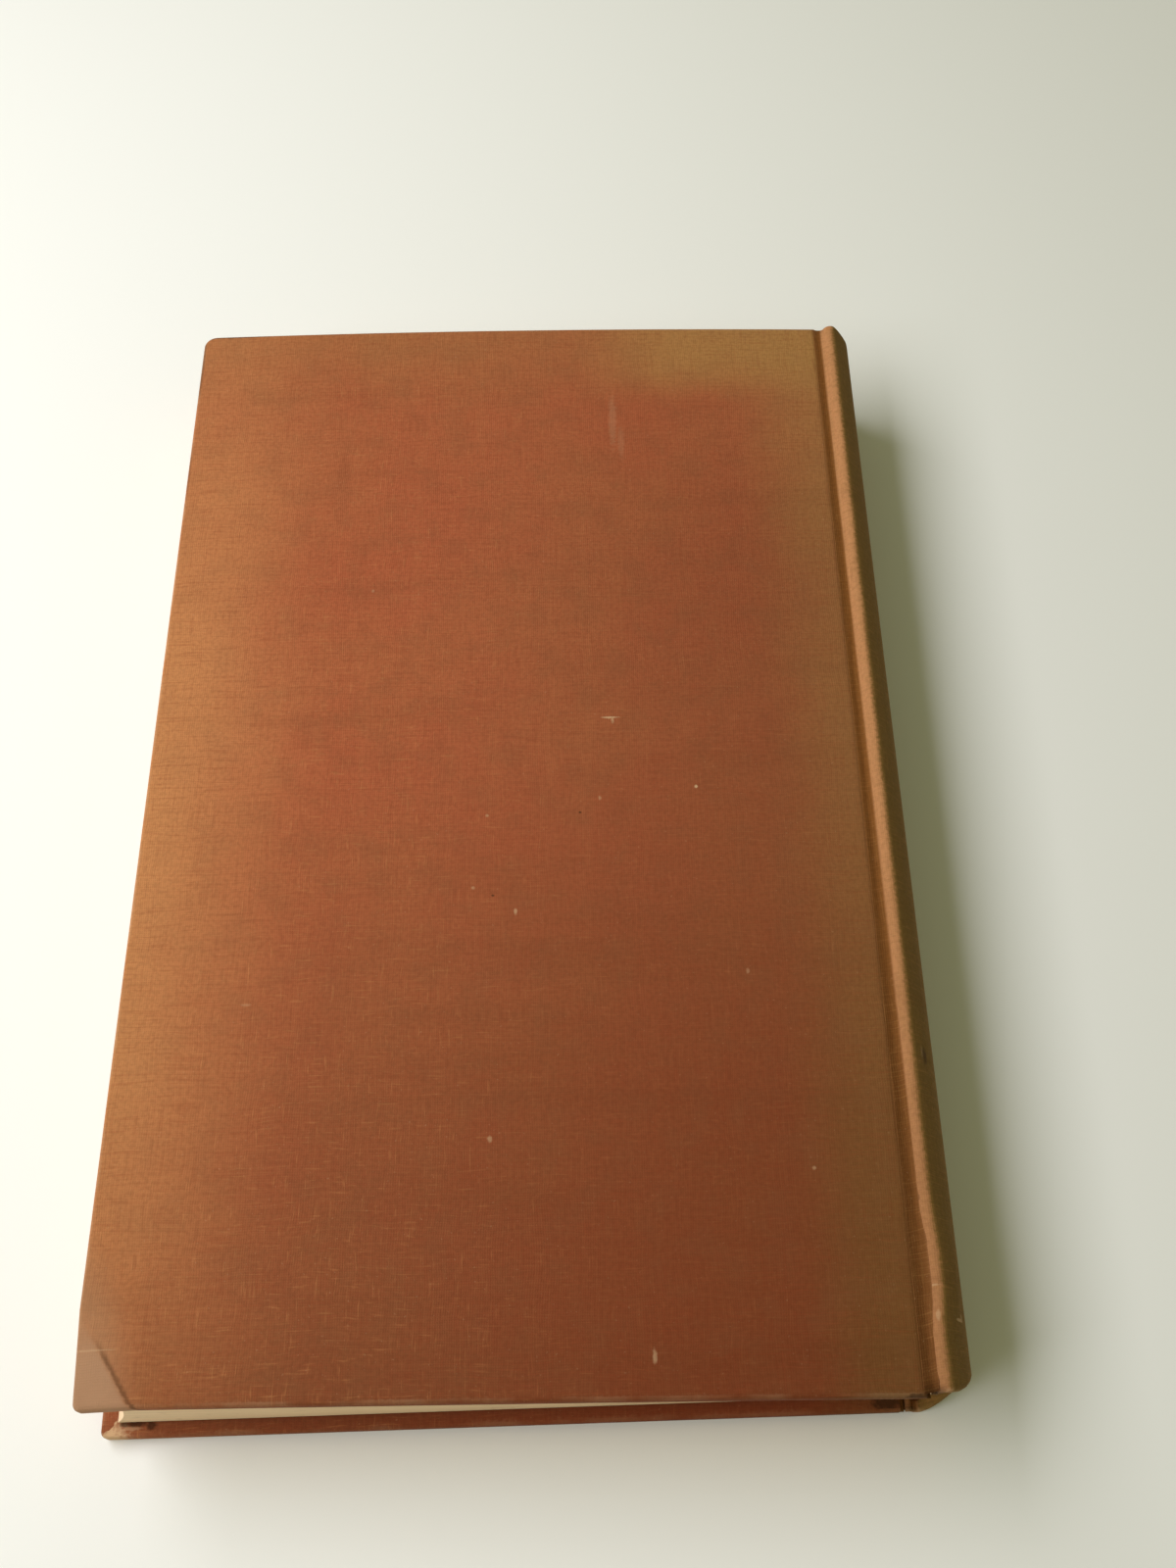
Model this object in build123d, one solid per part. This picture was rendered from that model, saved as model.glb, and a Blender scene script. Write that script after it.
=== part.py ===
from build123d import *
import os
from math import atan2, cos, hypot, pi, radians, sin, sqrt, tan

# A closed cloth-bound hardback book, lying on its front cover.
# X runs from the fore-edge to the spine, Y from the tail to the head, Z up.
# It is drawn with X = 0 at the spine edge of the front cover and Y = 0 at its tail,
# and every piece is moved at the end, so that the origin is under the middle of the book.

# Covers, measured over their cloth
cover_height = 222.0
cover_width = 134.5
board_thickness = 2.5
cloth_thickness = 0.4
cloth_turn_in = 15.0
head_corner_radius = 2.5
tail_corner_radius = 1.2
cloth_arris_radius = 0.7
board_arris_radius = 0.4
mitre_slit_width = 0.3
pastedown_margin = 3.0
endpaper_thickness = 0.2

# The back cover has warped along its height, and its tail corner at the fore-edge is broken down
back_cover_bow = 1.0
crease_up_fore_edge = 15.0
crease_along_tail = 10.0
crease_degrees = 19.0

# Leaves
block_thickness = 18.2
fore_edge_square = 3.0
head_square = 2.5
tail_square = 2.4
fore_edge_hollow = 2.5
cover_slack = 0.25

# Rounded back with its ridges, X measured from the spine edge of the covers
groove_width = 1.6
groove_depth = 1.8
groove_split = 0.3
ridge_radius = 1.6
back_ridge_rise = 0.4
front_ridge_rise = -0.1
shoulder_radius = 1.1
spine_bulge = 9.6
back_hollow = 2.5
mull_thickness = 0.3
glue_line = 0.1
lining_thickness = 0.25
lining_width_share = 0.65
inlay_thickness = 0.5
inlay_width_share = 0.75
mull_end_margin = 12.0
lining_end_margin = 4.0
inlay_end_slack = 0.1
spine_end_radius = 7.5
spine_turn_in = 12.0
spine_turn_in_width_share = 0.5

# The book has gone out of square: the back cover has turned about an upright line
twist_degrees = 1.05
twist_centre_from_spine = 30.5
twist_centre_below_tail = 33.0

# A cover that is laid back flat passes this far above the ridge next to its joint
hinge_clearance = 0.4

# How far every cutting shape runs past what it cuts
overrun = 8.0

# Heights of the layers, from the table up
cover_thickness = cloth_thickness + board_thickness + endpaper_thickness
block_bottom = cover_thickness + cover_slack + endpaper_thickness
block_top = block_bottom + block_thickness
total_thickness = block_top + block_bottom
front_ridge_centre = ridge_radius - front_ridge_rise
back_ridge_centre = total_thickness + back_ridge_rise - ridge_radius
ridge_centre_x = groove_width + ridge_radius
mull_ridge_radius = ridge_radius - cloth_thickness - glue_line
mull_bulge = spine_bulge - back_hollow
block_ridge_radius = mull_ridge_radius - mull_thickness - glue_line
block_bulge = mull_bulge - mull_thickness - glue_line
middle_height = (front_ridge_centre + back_ridge_centre) / 2
half_ridge_span = (back_ridge_centre - front_ridge_centre) / 2

block_width = cover_width - fore_edge_square
block_tail = tail_square
block_head = cover_height - head_square


def lean(y):
    """How far the top layers lie towards the spine side at a place along the book."""
    return tan(radians(twist_degrees)) * (y + twist_centre_below_tail)


def share_of_lean(z):
    """The ridges and covers keep their form, and the leaves between them share the lean evenly."""
    return min(max((z - block_bottom) / block_thickness, 0), 1)


def leaned(point, y):
    """A point of the cross-section, X and Z, set in its place along the book."""
    x, z = point
    return (x + lean(y) * share_of_lean(z), y, z)


def turned(shape):
    """Set a shape of the back cover at the angle that the cover has taken."""
    centre = Axis((-twist_centre_from_spine, -twist_centre_below_tail, 0), (0, 0, 1))
    return shape.rotate(centre, -twist_degrees)


def closed_outline(placed):
    """Edges of a closed outline: a step is a corner, or an arc's middle and end."""
    edges = []
    start = placed[0][-1]
    here = start
    for step in placed[1:] + [[start]]:
        if len(step) > 1:
            edges.append(Edge.make_three_point_arc(here, step[0], step[1]))
        elif (Vector(*here) - Vector(*step[0])).length > 0:
            edges.append(Edge.make_line(here, step[0]))
        here = step[-1]
    return edges


def outline(steps, y):
    """Edges of a cross-section's outline at one place along the book."""
    return closed_outline([[leaned(point, y) for point in step] for step in steps])


def joined(first, last):
    """A solid between two flat outlines, joined edge by edge."""
    sides = [Face.make_surface_from_curves(one, other) for one, other in zip(first, last)]
    ends = [Face(Wire(first)), Face(Wire(last))]
    return Solid(Shell(sides + ends))


def between(solid, tail, head):
    """The stretch of a solid between two places along the book."""
    size = 2 * cover_width
    slab = Box(size, head - tail, size, align=(Align.CENTER, Align.MIN, Align.CENTER))
    return (solid & slab.translate((0, tail, middle_height))).solid()


def along_book(section):
    """A solid as long as the covers: its outlines at tail and head, joined edge by edge."""
    return joined(section(0), section(cover_height))


# Rounded back


def back_curve(ridge, bulge):
    """Outline of one layer round the back, from the front ridge's wall to the back ridge's wall.

    Each ridge is an arc round its centre, and one wide arc joins both and bulges out at mid-height.
    """
    reach = bulge - ridge
    centre_x = (reach ** 2 - ridge_centre_x ** 2 - half_ridge_span ** 2) / (2 * (reach - ridge_centre_x))
    radius = bulge - centre_x
    meeting = atan2(half_ridge_span, ridge_centre_x - centre_x)
    mid_ridge = (pi + meeting) / 2
    steps = []
    for side in (-1, 1):
        ridge_z = middle_height + side * half_ridge_span
        wall = (ridge_centre_x - ridge, ridge_z)
        crest = (ridge_centre_x + ridge * cos(mid_ridge), ridge_z + side * ridge * sin(mid_ridge))
        end = (centre_x + radius * cos(meeting), middle_height + side * radius * sin(meeting))
        steps.append((wall, crest, end))
    front, back = steps
    middle = (bulge, middle_height)
    return [[front[0]], [front[1], front[2]], [middle, back[2]], [back[1], back[0]]]


def reverse_steps(steps):
    """The same outline walked the other way."""
    ends = [step[-1] for step in steps]
    turned_round = [[ends[-1]]]
    for index in range(len(steps) - 1, 0, -1):
        turned_round.append(steps[index][:-1] + [ends[index - 1]])
    return turned_round


def back_circle(ridge, bulge, y):
    """Centre, radius and end angles of a layer's wide arc, at one place along the book."""
    steps = back_curve(ridge, bulge)
    (ax, _, az), (bx, _, bz), (cx, _, cz) = [leaned(p, y) for p in (steps[1][1], steps[2][0], steps[2][1])]
    a_square = ax ** 2 + az ** 2
    b_square = bx ** 2 + bz ** 2
    c_square = cx ** 2 + cz ** 2
    double_area = 2 * (ax * (bz - cz) + bx * (cz - az) + cx * (az - bz))
    x = (a_square * (bz - cz) + b_square * (cz - az) + c_square * (az - bz)) / double_area
    z = (a_square * (cx - bx) + b_square * (ax - cx) + c_square * (bx - ax)) / double_area
    return x, z, hypot(ax - x, az - z), atan2(az - z, ax - x), atan2(cz - z, cx - x)


def strip_outline(ridge, bulge, share, inner, outer, y):
    """Outline of a strip that lies along a layer's wide arc, with its distances from that arc."""
    x, z, radius, low, high = back_circle(ridge, bulge, y)
    middle = (low + high) / 2
    reach = (high - low) / 2 * share
    inside = []
    outside = []
    for angle in (middle - reach, middle, middle + reach):
        inside.append((x + (radius + inner) * cos(angle), y, z + (radius + inner) * sin(angle)))
        outside.append((x + (radius + outer) * cos(angle), y, z + (radius + outer) * sin(angle)))
    return [
        Edge.make_three_point_arc(*outside),
        Edge.make_line(outside[-1], inside[-1]),
        Edge.make_three_point_arc(inside[2], inside[1], inside[0]),
        Edge.make_line(inside[0], outside[0]),
    ]


def strip(ridge, bulge, share, inner, outer):
    """A strip glued along the back, as long as the covers."""
    return along_book(lambda y: strip_outline(ridge, bulge, share, inner, outer, y))


def rounded_ends(margin):
    """The space between the head and tail of the spine, which are rounded off towards the back."""
    radius = spine_end_radius - margin
    half_turn = radius * sin(radians(45))
    tail = margin
    head = cover_height - margin
    far_x = ridge_centre_x + radius
    steps = [[(-cover_width, tail)], [(ridge_centre_x, tail)]]
    steps += [[(ridge_centre_x + half_turn, tail + radius - half_turn), (far_x, tail + radius)]]
    steps += [[(far_x, head - radius)]]
    steps += [[(ridge_centre_x + half_turn, head - radius + half_turn), (ridge_centre_x, head)]]
    steps += [[(-cover_width, head)]]
    outlines = []
    for share in (-1, 2):
        z = block_bottom + share * block_thickness
        placed = [[(x + lean(y) * share, y, z) for x, y in step] for step in steps]
        outlines.append(closed_outline(placed))
    return joined(*outlines)


def spine_strip(share, inner, outer):
    """A strip along the inner face of the back's cloth."""
    return strip(ridge_radius - cloth_thickness, spine_bulge - cloth_thickness, share, inner, outer)


def spine_turn_ins(ends):
    """Where the cloth goes round the ends of the inlay and back inside the spine."""
    share = spine_turn_in_width_share
    depth = glue_line + inlay_thickness + glue_line + cloth_thickness
    folds = spine_strip(share, -depth, cloth_thickness / 2) & ends
    folds = folds - rounded_ends(cloth_thickness)
    inside = spine_strip(share, -depth, cloth_thickness - depth) & ends
    middle = Box(2 * cover_width, cover_height - 2 * spine_turn_in, 2 * cover_width)
    inside = inside - middle.translate((0, cover_height / 2, middle_height))
    return folds + inside


def make_spine_cloth():
    """The cloth of the back with both ridges, down to the middle of each groove and turned in at both ends."""
    outside = back_curve(ridge_radius, spine_bulge)
    inside = back_curve(ridge_radius - cloth_thickness, spine_bulge - cloth_thickness)
    split_x = (groove_width + groove_split) / 2
    inner_wall_x = groove_width + cloth_thickness
    front_floor = groove_depth
    back_floor = total_thickness - groove_depth
    steps = [[(split_x, front_floor)], [(groove_width, front_floor)]] + outside
    steps += [[(groove_width, back_floor)], [(split_x, back_floor)]]
    steps += [[(split_x, back_floor - cloth_thickness)], [(inner_wall_x, back_floor - cloth_thickness)]]
    steps += reverse_steps(inside)
    steps += [[(inner_wall_x, front_floor + cloth_thickness)], [(split_x, front_floor + cloth_thickness)]]
    ends = rounded_ends(0)
    cloth = along_book(lambda y: outline(steps, y)) & ends
    return (cloth + spine_turn_ins(ends)).solid()


def make_spine_mull():
    """Gauze glued over the back of the leaves and both ridges."""
    outside = back_curve(mull_ridge_radius, mull_bulge)
    inside = back_curve(mull_ridge_radius - mull_thickness, mull_bulge - mull_thickness)
    steps = outside + reverse_steps(inside)
    mull = along_book(lambda y: outline(steps, y))
    return between(mull, block_tail + mull_end_margin, block_head - mull_end_margin)


def make_spine_lining():
    """Kraft paper glued over the gauze, between the ridges."""
    outer = glue_line + lining_thickness
    lining = strip(mull_ridge_radius, mull_bulge, lining_width_share, glue_line, outer)
    return between(lining, block_tail + lining_end_margin, block_head - lining_end_margin)


def make_spine_inlay():
    """Card that stiffens the cloth of the back."""
    inlay = spine_strip(inlay_width_share, -glue_line - inlay_thickness, -glue_line)
    return (inlay & rounded_ends(cloth_thickness + inlay_end_slack)).solid()


# Leaves


def twist_prism():
    """The space between the tail and head of the leaves, whose end faces turn with the height."""
    low = block_bottom - block_thickness
    high = block_top + block_thickness
    wires = []
    for z in (low, high):
        share = (z - block_bottom) / block_thickness
        left = -cover_width - cover_width
        right = cover_width
        corners = [(left, block_tail), (right, block_tail), (right, block_head), (left, block_head)]
        wire = Wire.make_polygon([(x, y, z) for x, y in corners], close=True)
        centre = Axis((-twist_centre_from_spine, -twist_centre_below_tail, 0), (0, 0, 1))
        wires.append(wire.rotate(centre, -twist_degrees * share))
    return Solid.make_loft(wires, True)


def make_text_block():
    """All the leaves: rounded back, ridges bent out over the boards, hollow fore-edge, twisted ends."""
    wall_x = ridge_centre_x - block_ridge_radius
    bend_x = wall_x - shoulder_radius
    half_turn = shoulder_radius * sin(radians(45))
    in_bend_x = bend_x + half_turn
    in_bend = shoulder_radius - half_turn
    back = back_curve(block_ridge_radius, block_bulge)
    steps = [[(-block_width, block_bottom)], [(bend_x, block_bottom)]]
    steps += [[(in_bend_x, block_bottom - in_bend), (wall_x, block_bottom - shoulder_radius)]]
    steps += back
    steps += [[(wall_x, block_top + shoulder_radius)]]
    steps += [[(in_bend_x, block_top + in_bend), (bend_x, block_top)], [(-block_width, block_top)]]
    hollow_middle = (-block_width + fore_edge_hollow, (block_bottom + block_top) / 2)
    steps += [[hollow_middle, (-block_width, block_bottom)]]
    leaves = along_book(lambda y: outline(steps, y)) & twist_prism()
    crushed = broken_down(turned_corner_plate(block_top, block_thickness))
    return leaves - crushed


def make_flyleaf(bottom):
    """The free leaf of an endpaper, as large as the leaves next to it."""
    width = block_width + ridge_centre_x - block_ridge_radius - shoulder_radius
    leaf = Box(width, block_head - block_tail, endpaper_thickness, align=Align.MIN)
    return leaf.translate((-block_width, block_tail, bottom)).solid()


# Broken corner of the back cover, X and Y in the square position of that cover


def crease_direction():
    """Unit direction across the crease, towards the corner."""
    span = hypot(crease_up_fore_edge, crease_along_tail)
    return -crease_up_fore_edge / span, -crease_along_tail / span


def beyond_crease():
    """Everything on the corner's side of the crease, as one tall prism."""
    reach = overrun + crease_up_fore_edge + crease_along_tail
    across_x, across_y = crease_direction()
    start = Vector(-cover_width, crease_up_fore_edge, 0)
    end = Vector(-cover_width + crease_along_tail, 0, 0)
    along = (end - start).normalized() * reach
    outward = Vector(across_x, across_y, 0) * reach
    corners = [start - along, end + along, end + along + outward, start - along + outward]
    base = Face(Wire.make_polygon([(p.X, p.Y, -total_thickness) for p in corners], close=True))
    return extrude(base, amount=4 * total_thickness, dir=(0, 0, 1))


def lowered(shape):
    """Push a shape down, the further past the crease the more."""
    slope = tan(radians(crease_degrees))
    across_x, across_y = crease_direction()
    level = slope * (across_x * -cover_width + across_y * crease_up_fore_edge)
    rows = [[1, 0, 0, 0], [0, 1, 0, 0], [-slope * across_x, -slope * across_y, 1, level]]
    return shape.transform_geometry(Matrix(rows))


def with_broken_corner(shape):
    """Bend the corner of a sheet or board down along the crease."""
    side = beyond_crease()
    flat = shape - side
    corner = lowered((shape & side).solid())
    return (flat + corner).solid()


def turned_corner_plate(bottom, thickness):
    """What lies over the leaves past the crease, before the corner breaks down."""
    size = crease_up_fore_edge + crease_along_tail
    plate = Box(size, size, thickness, align=Align.MIN)
    return plate.translate((-cover_width - overrun, -overrun, bottom)) & beyond_crease()


def broken_down(plate):
    """The same plate after the corner has broken, at the back cover's angle."""
    return turned(lowered(plate.solid()))


# Covers, drawn with the outer face up at Z = 0 and then set in place


def bow_height(x, bow):
    """Height of a warped cover's face above its two long edges."""
    if bow == 0:
        return 0
    radius = (cover_width ** 2 / 4 + bow ** 2) / (2 * bow)
    return sqrt(radius ** 2 - (x + cover_width / 2) ** 2) - (radius - bow)


def warped_edge(start_x, end_x, depth, y, bow):
    """One long edge of a cover's cross-section at a depth under the outer face."""
    middle_x = (start_x + end_x) / 2
    points = [(x, y, bow_height(x, bow) - depth) for x in (start_x, middle_x, end_x)]
    if bow == 0:
        return Edge.make_line(points[0], points[2])
    return Edge.make_three_point_arc(*points)


def layer(left, right, tail, head, upper, lower, bow):
    """A layer of a cover between two depths, with its own margins to the cover's edges."""
    top = warped_edge(left, right, upper, tail, bow)
    bottom = warped_edge(right, left, lower, tail, bow)
    sides = [Edge.make_line(top @ 1, bottom @ 0), Edge.make_line(bottom @ 1, top @ 0)]
    face = Face(Wire([top, sides[0], bottom, sides[1]]))
    return extrude(face, amount=head - tail, dir=(0, 1, 0)).solid()


def fore_edge_corners(solid):
    """The upright edges at the fore-edge, from tail to head."""
    return solid.edges().filter_by(Axis.Z).group_by(Axis.X)[0].sort_by(Axis.Y)


def rounded(solid, inset, arris):
    """Round a cover's corners at the fore-edge, then the edges round its outer face."""
    solid = fillet(fore_edge_corners(solid)[-1], head_corner_radius - inset).solid()
    solid = fillet(fore_edge_corners(solid)[0], tail_corner_radius - inset).solid()
    outer = solid.faces().sort_by(SortBy.AREA)[-2:].sort_by(Axis.Z)[-1]
    return fillet(outer.edges(), arris).solid()


def make_board(bow):
    """Pulp board, thinned where the cloth is turned in, so that the inner face is flush."""
    full = layer(-cover_width + cloth_thickness, -cloth_thickness, cloth_thickness,
                 cover_height - cloth_thickness, cloth_thickness, board_thickness, bow)
    full = rounded(full, cloth_thickness, board_arris_radius)
    inner = layer(-cover_width + cloth_turn_in, -cloth_thickness, cloth_turn_in,
                  cover_height - cloth_turn_in, board_thickness / 2,
                  board_thickness + cloth_thickness, bow)
    return (full + inner).solid()


def make_cover_cloth(bow, board):
    """Book cloth over a board: outer face, edges, mitred turn-ins and its half of the groove."""
    inner_depth = board_thickness + cloth_thickness
    floor_depth = groove_depth + cloth_thickness
    cloth = layer(-cover_width, 0, 0, cover_height, 0, inner_depth, bow)
    cloth = rounded(cloth, 0, cloth_arris_radius)
    cloth = cloth - board
    open_edge = Box(cloth_thickness + overrun, cover_height + 2 * overrun, overrun, align=Align.MIN)
    cloth = cloth - open_edge.translate((-cloth_thickness, -overrun, -floor_depth - overrun))
    lip_width = (groove_width - groove_split) / 2 + cloth_thickness
    lip = Box(lip_width, cover_height, cloth_thickness, align=Align.MIN)
    cloth = cloth + lip.translate((-cloth_thickness, 0, -floor_depth))
    reach = cloth_turn_in - cloth_thickness - head_corner_radius
    keep = Box(2 * reach, 2 * reach, 2 * overrun)
    slit = Box(2 * reach, mitre_slit_width, overrun, align=(Align.MIN, Align.CENTER, Align.MAX))
    for y, angle in ((cloth_turn_in, 225), (cover_height - cloth_turn_in, 135)):
        corner = Pos(-cover_width + cloth_turn_in, y, -board_thickness / 2)
        start = Pos(-mitre_slit_width, 0, 0)
        cloth = cloth - (corner * Rot(0, 0, angle) * start * slit & corner * keep)
    return cloth.solid()


def make_pastedown(bow):
    """Endpaper pasted over the board and the edges of the turn-ins."""
    depth = board_thickness + cloth_thickness
    return layer(-cover_width + pastedown_margin, -cloth_thickness, pastedown_margin,
                 cover_height - pastedown_margin, depth, depth + endpaper_thickness, bow)


def make_cover(bow):
    """Board, cloth and pastedown of one cover."""
    board = make_board(bow)
    return board, make_cover_cloth(bow, board), make_pastedown(bow)


def as_front(shape):
    """Set a cover's piece with its outer face down on the table."""
    return shape.mirror(Plane.XY)


def as_back(shape):
    """Set a back cover's piece on top of the leaves, with its broken corner and its turn."""
    raised = shape.translate((0, 0, total_thickness))
    return turned(with_broken_corner(raised))


front_board, front_cloth, front_pastedown = [as_front(piece) for piece in make_cover(0)]
back_board, back_cloth, back_pastedown = [as_back(piece) for piece in make_cover(back_cover_bow)]


def hinge_lines():
    """A point and a direction of the line that each cover opens on, over the middle of its groove."""
    back_lift = (back_ridge_rise + hinge_clearance) / 2
    front_lift = (front_ridge_rise + hinge_clearance) / 2
    centre = Pos(-twist_centre_from_spine, -twist_centre_below_tail, 0)
    reach = Pos(groove_width / 2 + twist_centre_from_spine, twist_centre_below_tail, total_thickness + back_lift)
    back_point = (centre * Rot(0, 0, -twist_degrees) * reach).position
    angle = radians(twist_degrees)
    return {
        "back_cover_hinge": (back_point, Vector(sin(angle), cos(angle), 0)),
        "front_cover_hinge": (Vector(groove_width / 2, 0, -front_lift), Vector(0, -1, 0)),
    }


nodes = {
    "text_block": make_text_block(),
    "front_flyleaf": make_flyleaf(block_bottom - endpaper_thickness),
    "back_flyleaf": turned(with_broken_corner(make_flyleaf(block_top))),
    "spine_mull": make_spine_mull(),
    "spine_lining": make_spine_lining(),
    "spine_inlay": make_spine_inlay(),
    "spine_cloth": make_spine_cloth(),
    "back_board": back_board,
    "back_cover_cloth": back_cloth,
    "back_pastedown": back_pastedown,
    "front_board": front_board,
    "front_cover_cloth": front_cloth,
    "front_pastedown": front_pastedown,
}

# The origin goes under the middle of the book's box
box = Compound(list(nodes.values())).bounding_box()
to_origin = Vector(-(box.min.X + box.max.X) / 2, -(box.min.Y + box.max.Y) / 2, -box.min.Z)

if __name__ == "__main__":
    os.makedirs("parts", exist_ok=True)
    for name, solid in nodes.items():
        export_step(solid.translate(to_origin), f"parts/{name}.step")
    for name, (point, direction) in hinge_lines().items():
        place = point + to_origin
        print(name, [round(v, 3) for v in tuple(place)], [round(v, 5) for v in tuple(direction)])
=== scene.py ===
"""A worn cloth-bound hardback book, dressed round its CAD frame."""

import math

import bmesh
import bpy
from mathutils import Matrix, Vector, noise


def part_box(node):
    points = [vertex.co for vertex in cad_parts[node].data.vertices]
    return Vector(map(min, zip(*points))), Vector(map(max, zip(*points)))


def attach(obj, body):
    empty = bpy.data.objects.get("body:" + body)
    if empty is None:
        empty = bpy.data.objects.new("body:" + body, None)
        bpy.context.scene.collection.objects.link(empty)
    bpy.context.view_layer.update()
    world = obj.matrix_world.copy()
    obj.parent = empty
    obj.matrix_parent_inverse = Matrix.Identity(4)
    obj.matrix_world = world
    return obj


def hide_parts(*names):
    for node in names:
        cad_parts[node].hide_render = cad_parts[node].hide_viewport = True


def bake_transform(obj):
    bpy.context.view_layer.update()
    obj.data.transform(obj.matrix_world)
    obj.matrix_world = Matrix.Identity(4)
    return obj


bl_info = {
    "name": "Worn cloth hardback",
    "version": (1, 0, 0),
    "blender": (4, 5, 0),
    "location": "3D View > Sidebar > Book",
    "description": "Book cloth, worn edges, aged paper and board for a closed hardback book",
    "category": "Object",
}

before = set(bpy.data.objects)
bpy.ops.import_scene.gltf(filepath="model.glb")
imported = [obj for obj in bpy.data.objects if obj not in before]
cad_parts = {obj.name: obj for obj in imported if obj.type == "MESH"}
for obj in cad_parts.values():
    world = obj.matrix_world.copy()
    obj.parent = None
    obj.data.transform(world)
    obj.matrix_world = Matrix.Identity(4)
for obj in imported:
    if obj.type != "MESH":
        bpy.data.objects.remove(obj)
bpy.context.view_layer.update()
MM = 0.001

# Sizes of the binding in millimetres, the same as in the part's source.
COVER_HEIGHT = 222.0
COVER_WIDTH = 134.5
COVER_DEPTH = 2.9
CLOTH = 0.4
TURN_IN = 15.0
HEAD_CORNER_RADIUS = 2.7
TAIL_CORNER_RADIUS = 1.2
JOINT_ARRIS_RADIUS = 1.1
ARRIS_RADIUS = 0.7
INNER_ARRIS_RADIUS = 0.45
MITRE_SLIT = 0.3
COVER_BOW = 1.0
CREASE_UP_FORE_EDGE = 15.0
CREASE_ALONG_TAIL = 10.0
CREASE_DEGREES = 19.0
PAPER = 0.2
BLOCK_BOTTOM = 3.55
BLOCK_THICKNESS = 18.2
TOTAL_THICKNESS = 25.3
GROOVE_WIDTH = 1.6
GROOVE_DEPTH = 1.8
GROOVE_SPLIT = 0.3
RIDGE_RADIUS = 1.6
FRONT_RIDGE_Z = 1.7
BACK_RIDGE_Z = 24.1
SPINE_BULGE = 9.6
SPINE_END_RADIUS = 7.5
SPINE_TURN_IN = 12.0
SPINE_ROLL = 0.75
RIDGE_ROLL = 0.45
RIDGE_TURN_IN = 1.4
CLOTH_ROUND_BACK = 37.6
TWIST_DEGREES = 1.05
TWIST_CENTRE = (-30.5, -33.0)

# The back between its ridges is one arc: its half span, its centre and how far it turns to each side.
RIDGE_X = GROOVE_WIDTH + RIDGE_RADIUS
ARC_REACH = SPINE_BULGE - RIDGE_RADIUS
ARC_HALF_SPAN = (BACK_RIDGE_Z - FRONT_RIDGE_Z) / 2
ARC_Z = (BACK_RIDGE_Z + FRONT_RIDGE_Z) / 2
ARC_X = (ARC_REACH ** 2 - RIDGE_X ** 2 - ARC_HALF_SPAN ** 2) / (2 * (ARC_REACH - RIDGE_X))
ARC_HALF_TURN = math.atan2(ARC_HALF_SPAN, RIDGE_X - ARC_X)

# Damage to the back ridge: the dents and the one push, each a place from the tail, a half length and a depth.
RIDGE_DENTS = [
    (31.0, 2.2, 0.28), (25.5, 1.6, -0.12), (56.0, 3.0, 0.15), (96.0, 5.0, 0.10), (0.0, 4.0, 0.45),
    (222.0, 2.5, 0.2),
]
RIDGE_PUSH = (19.0, 7.5, 0.55)

# Two places nearer than this are the same.
NEAR = 0.01

# What the eye sees of the room behind the book.
WALL = "#dddcd3"

# The part's origin is under the middle of the book. Its drawing starts at the spine edge and the tail of
# the front cover.
FRONT_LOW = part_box("front_cover_cloth")[0]
TO_FRAME = Vector((FRONT_LOW[0] + COVER_WIDTH * MM, FRONT_LOW[1], 0))


def linear(code):
    """sRGB hex to a linear RGBA colour."""
    parts = [int(code[i:i + 2], 16) / 255 for i in (1, 3, 5)]
    return tuple(p / 12.92 if p <= 0.04045 else ((p + 0.055) / 1.055) ** 2.4 for p in parts) + (1.0,)


def colour_prop(name, description, code):
    """A colour that the user may change, given as an sRGB hex value."""
    return bpy.props.FloatVectorProperty(
        name=name, description=description, default=linear(code)[:3], size=3, min=0, max=1, subtype="COLOR")


class BookCoverSettings(bpy.types.PropertyGroup):
    """Sizes of the covers and how finely their cloth is meshed."""
    mesh_step: bpy.props.FloatProperty(
        name="Mesh step", description="Distance between the cloth's mesh lines",
        default=2.4 * MM, min=0.5 * MM, unit="LENGTH")
    thread_pitch: bpy.props.FloatProperty(
        name="Thread pitch", description="Distance between neighbouring threads of the book cloth",
        default=0.40 * MM, min=0.2 * MM, unit="LENGTH")
    waviness: bpy.props.FloatProperty(
        name="Waviness", description="How far the old board has cockled",
        default=0.12 * MM, min=0, unit="LENGTH")


class BookColours(bpy.types.PropertyGroup):
    """Colours of the cloth and the papers."""
    red: colour_prop("Cloth", "Middle of the covers, where the dye has kept", "#ab5838")
    tan: colour_prop("Faded cloth", "Cloth near the edges that light has bleached", "#c88753")
    ochre: colour_prop("Faded joint", "Cloth near the spine and head", "#aa7845")
    # Its dark olive is partly browned cloth and partly painted shade of the back, which faces away from the
    # window.
    toned: colour_prop("Toned spine", "Cloth of the rounded back, browned and dusty", "#765c2b")
    # Besides dirt, this colour is painted shade at the joint arris of the covers.
    grime_and_shade: colour_prop("Grime", "Handled and dusty cloth", "#4e2b12")
    bare: colour_prop("Bare thread", "Threads rubbed free of dye and starch", "#cda77e")
    # Brighter than aged paper: partly painted light for the leaf edges, which lie in the shade of the covers.
    page: colour_prop("Page edges", "Aged edges of the leaves", "#ffdfb8")
    endpaper: colour_prop("Endpaper", "Aged endpaper", "#d8c7a4")
    pulp: colour_prop("Board", "Grey-brown pulp board", "#9a8668")


# Nodes


def add_node(tree, kind, inputs=None, **settings):
    """Adds a shader node with its settings. Each input gets a value, a socket or another node's result."""
    node = tree.nodes.new("ShaderNode" + kind)
    for name, value in settings.items():
        setattr(node, name, value)
    for key, value in (inputs or {}).items():
        if isinstance(value, bpy.types.Node):
            value = next(socket for socket in value.outputs if socket.enabled)
        if isinstance(value, bpy.types.NodeSocket):
            tree.links.new(value, node.inputs[key])
        else:
            node.inputs[key].default_value = value
    return node


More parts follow.
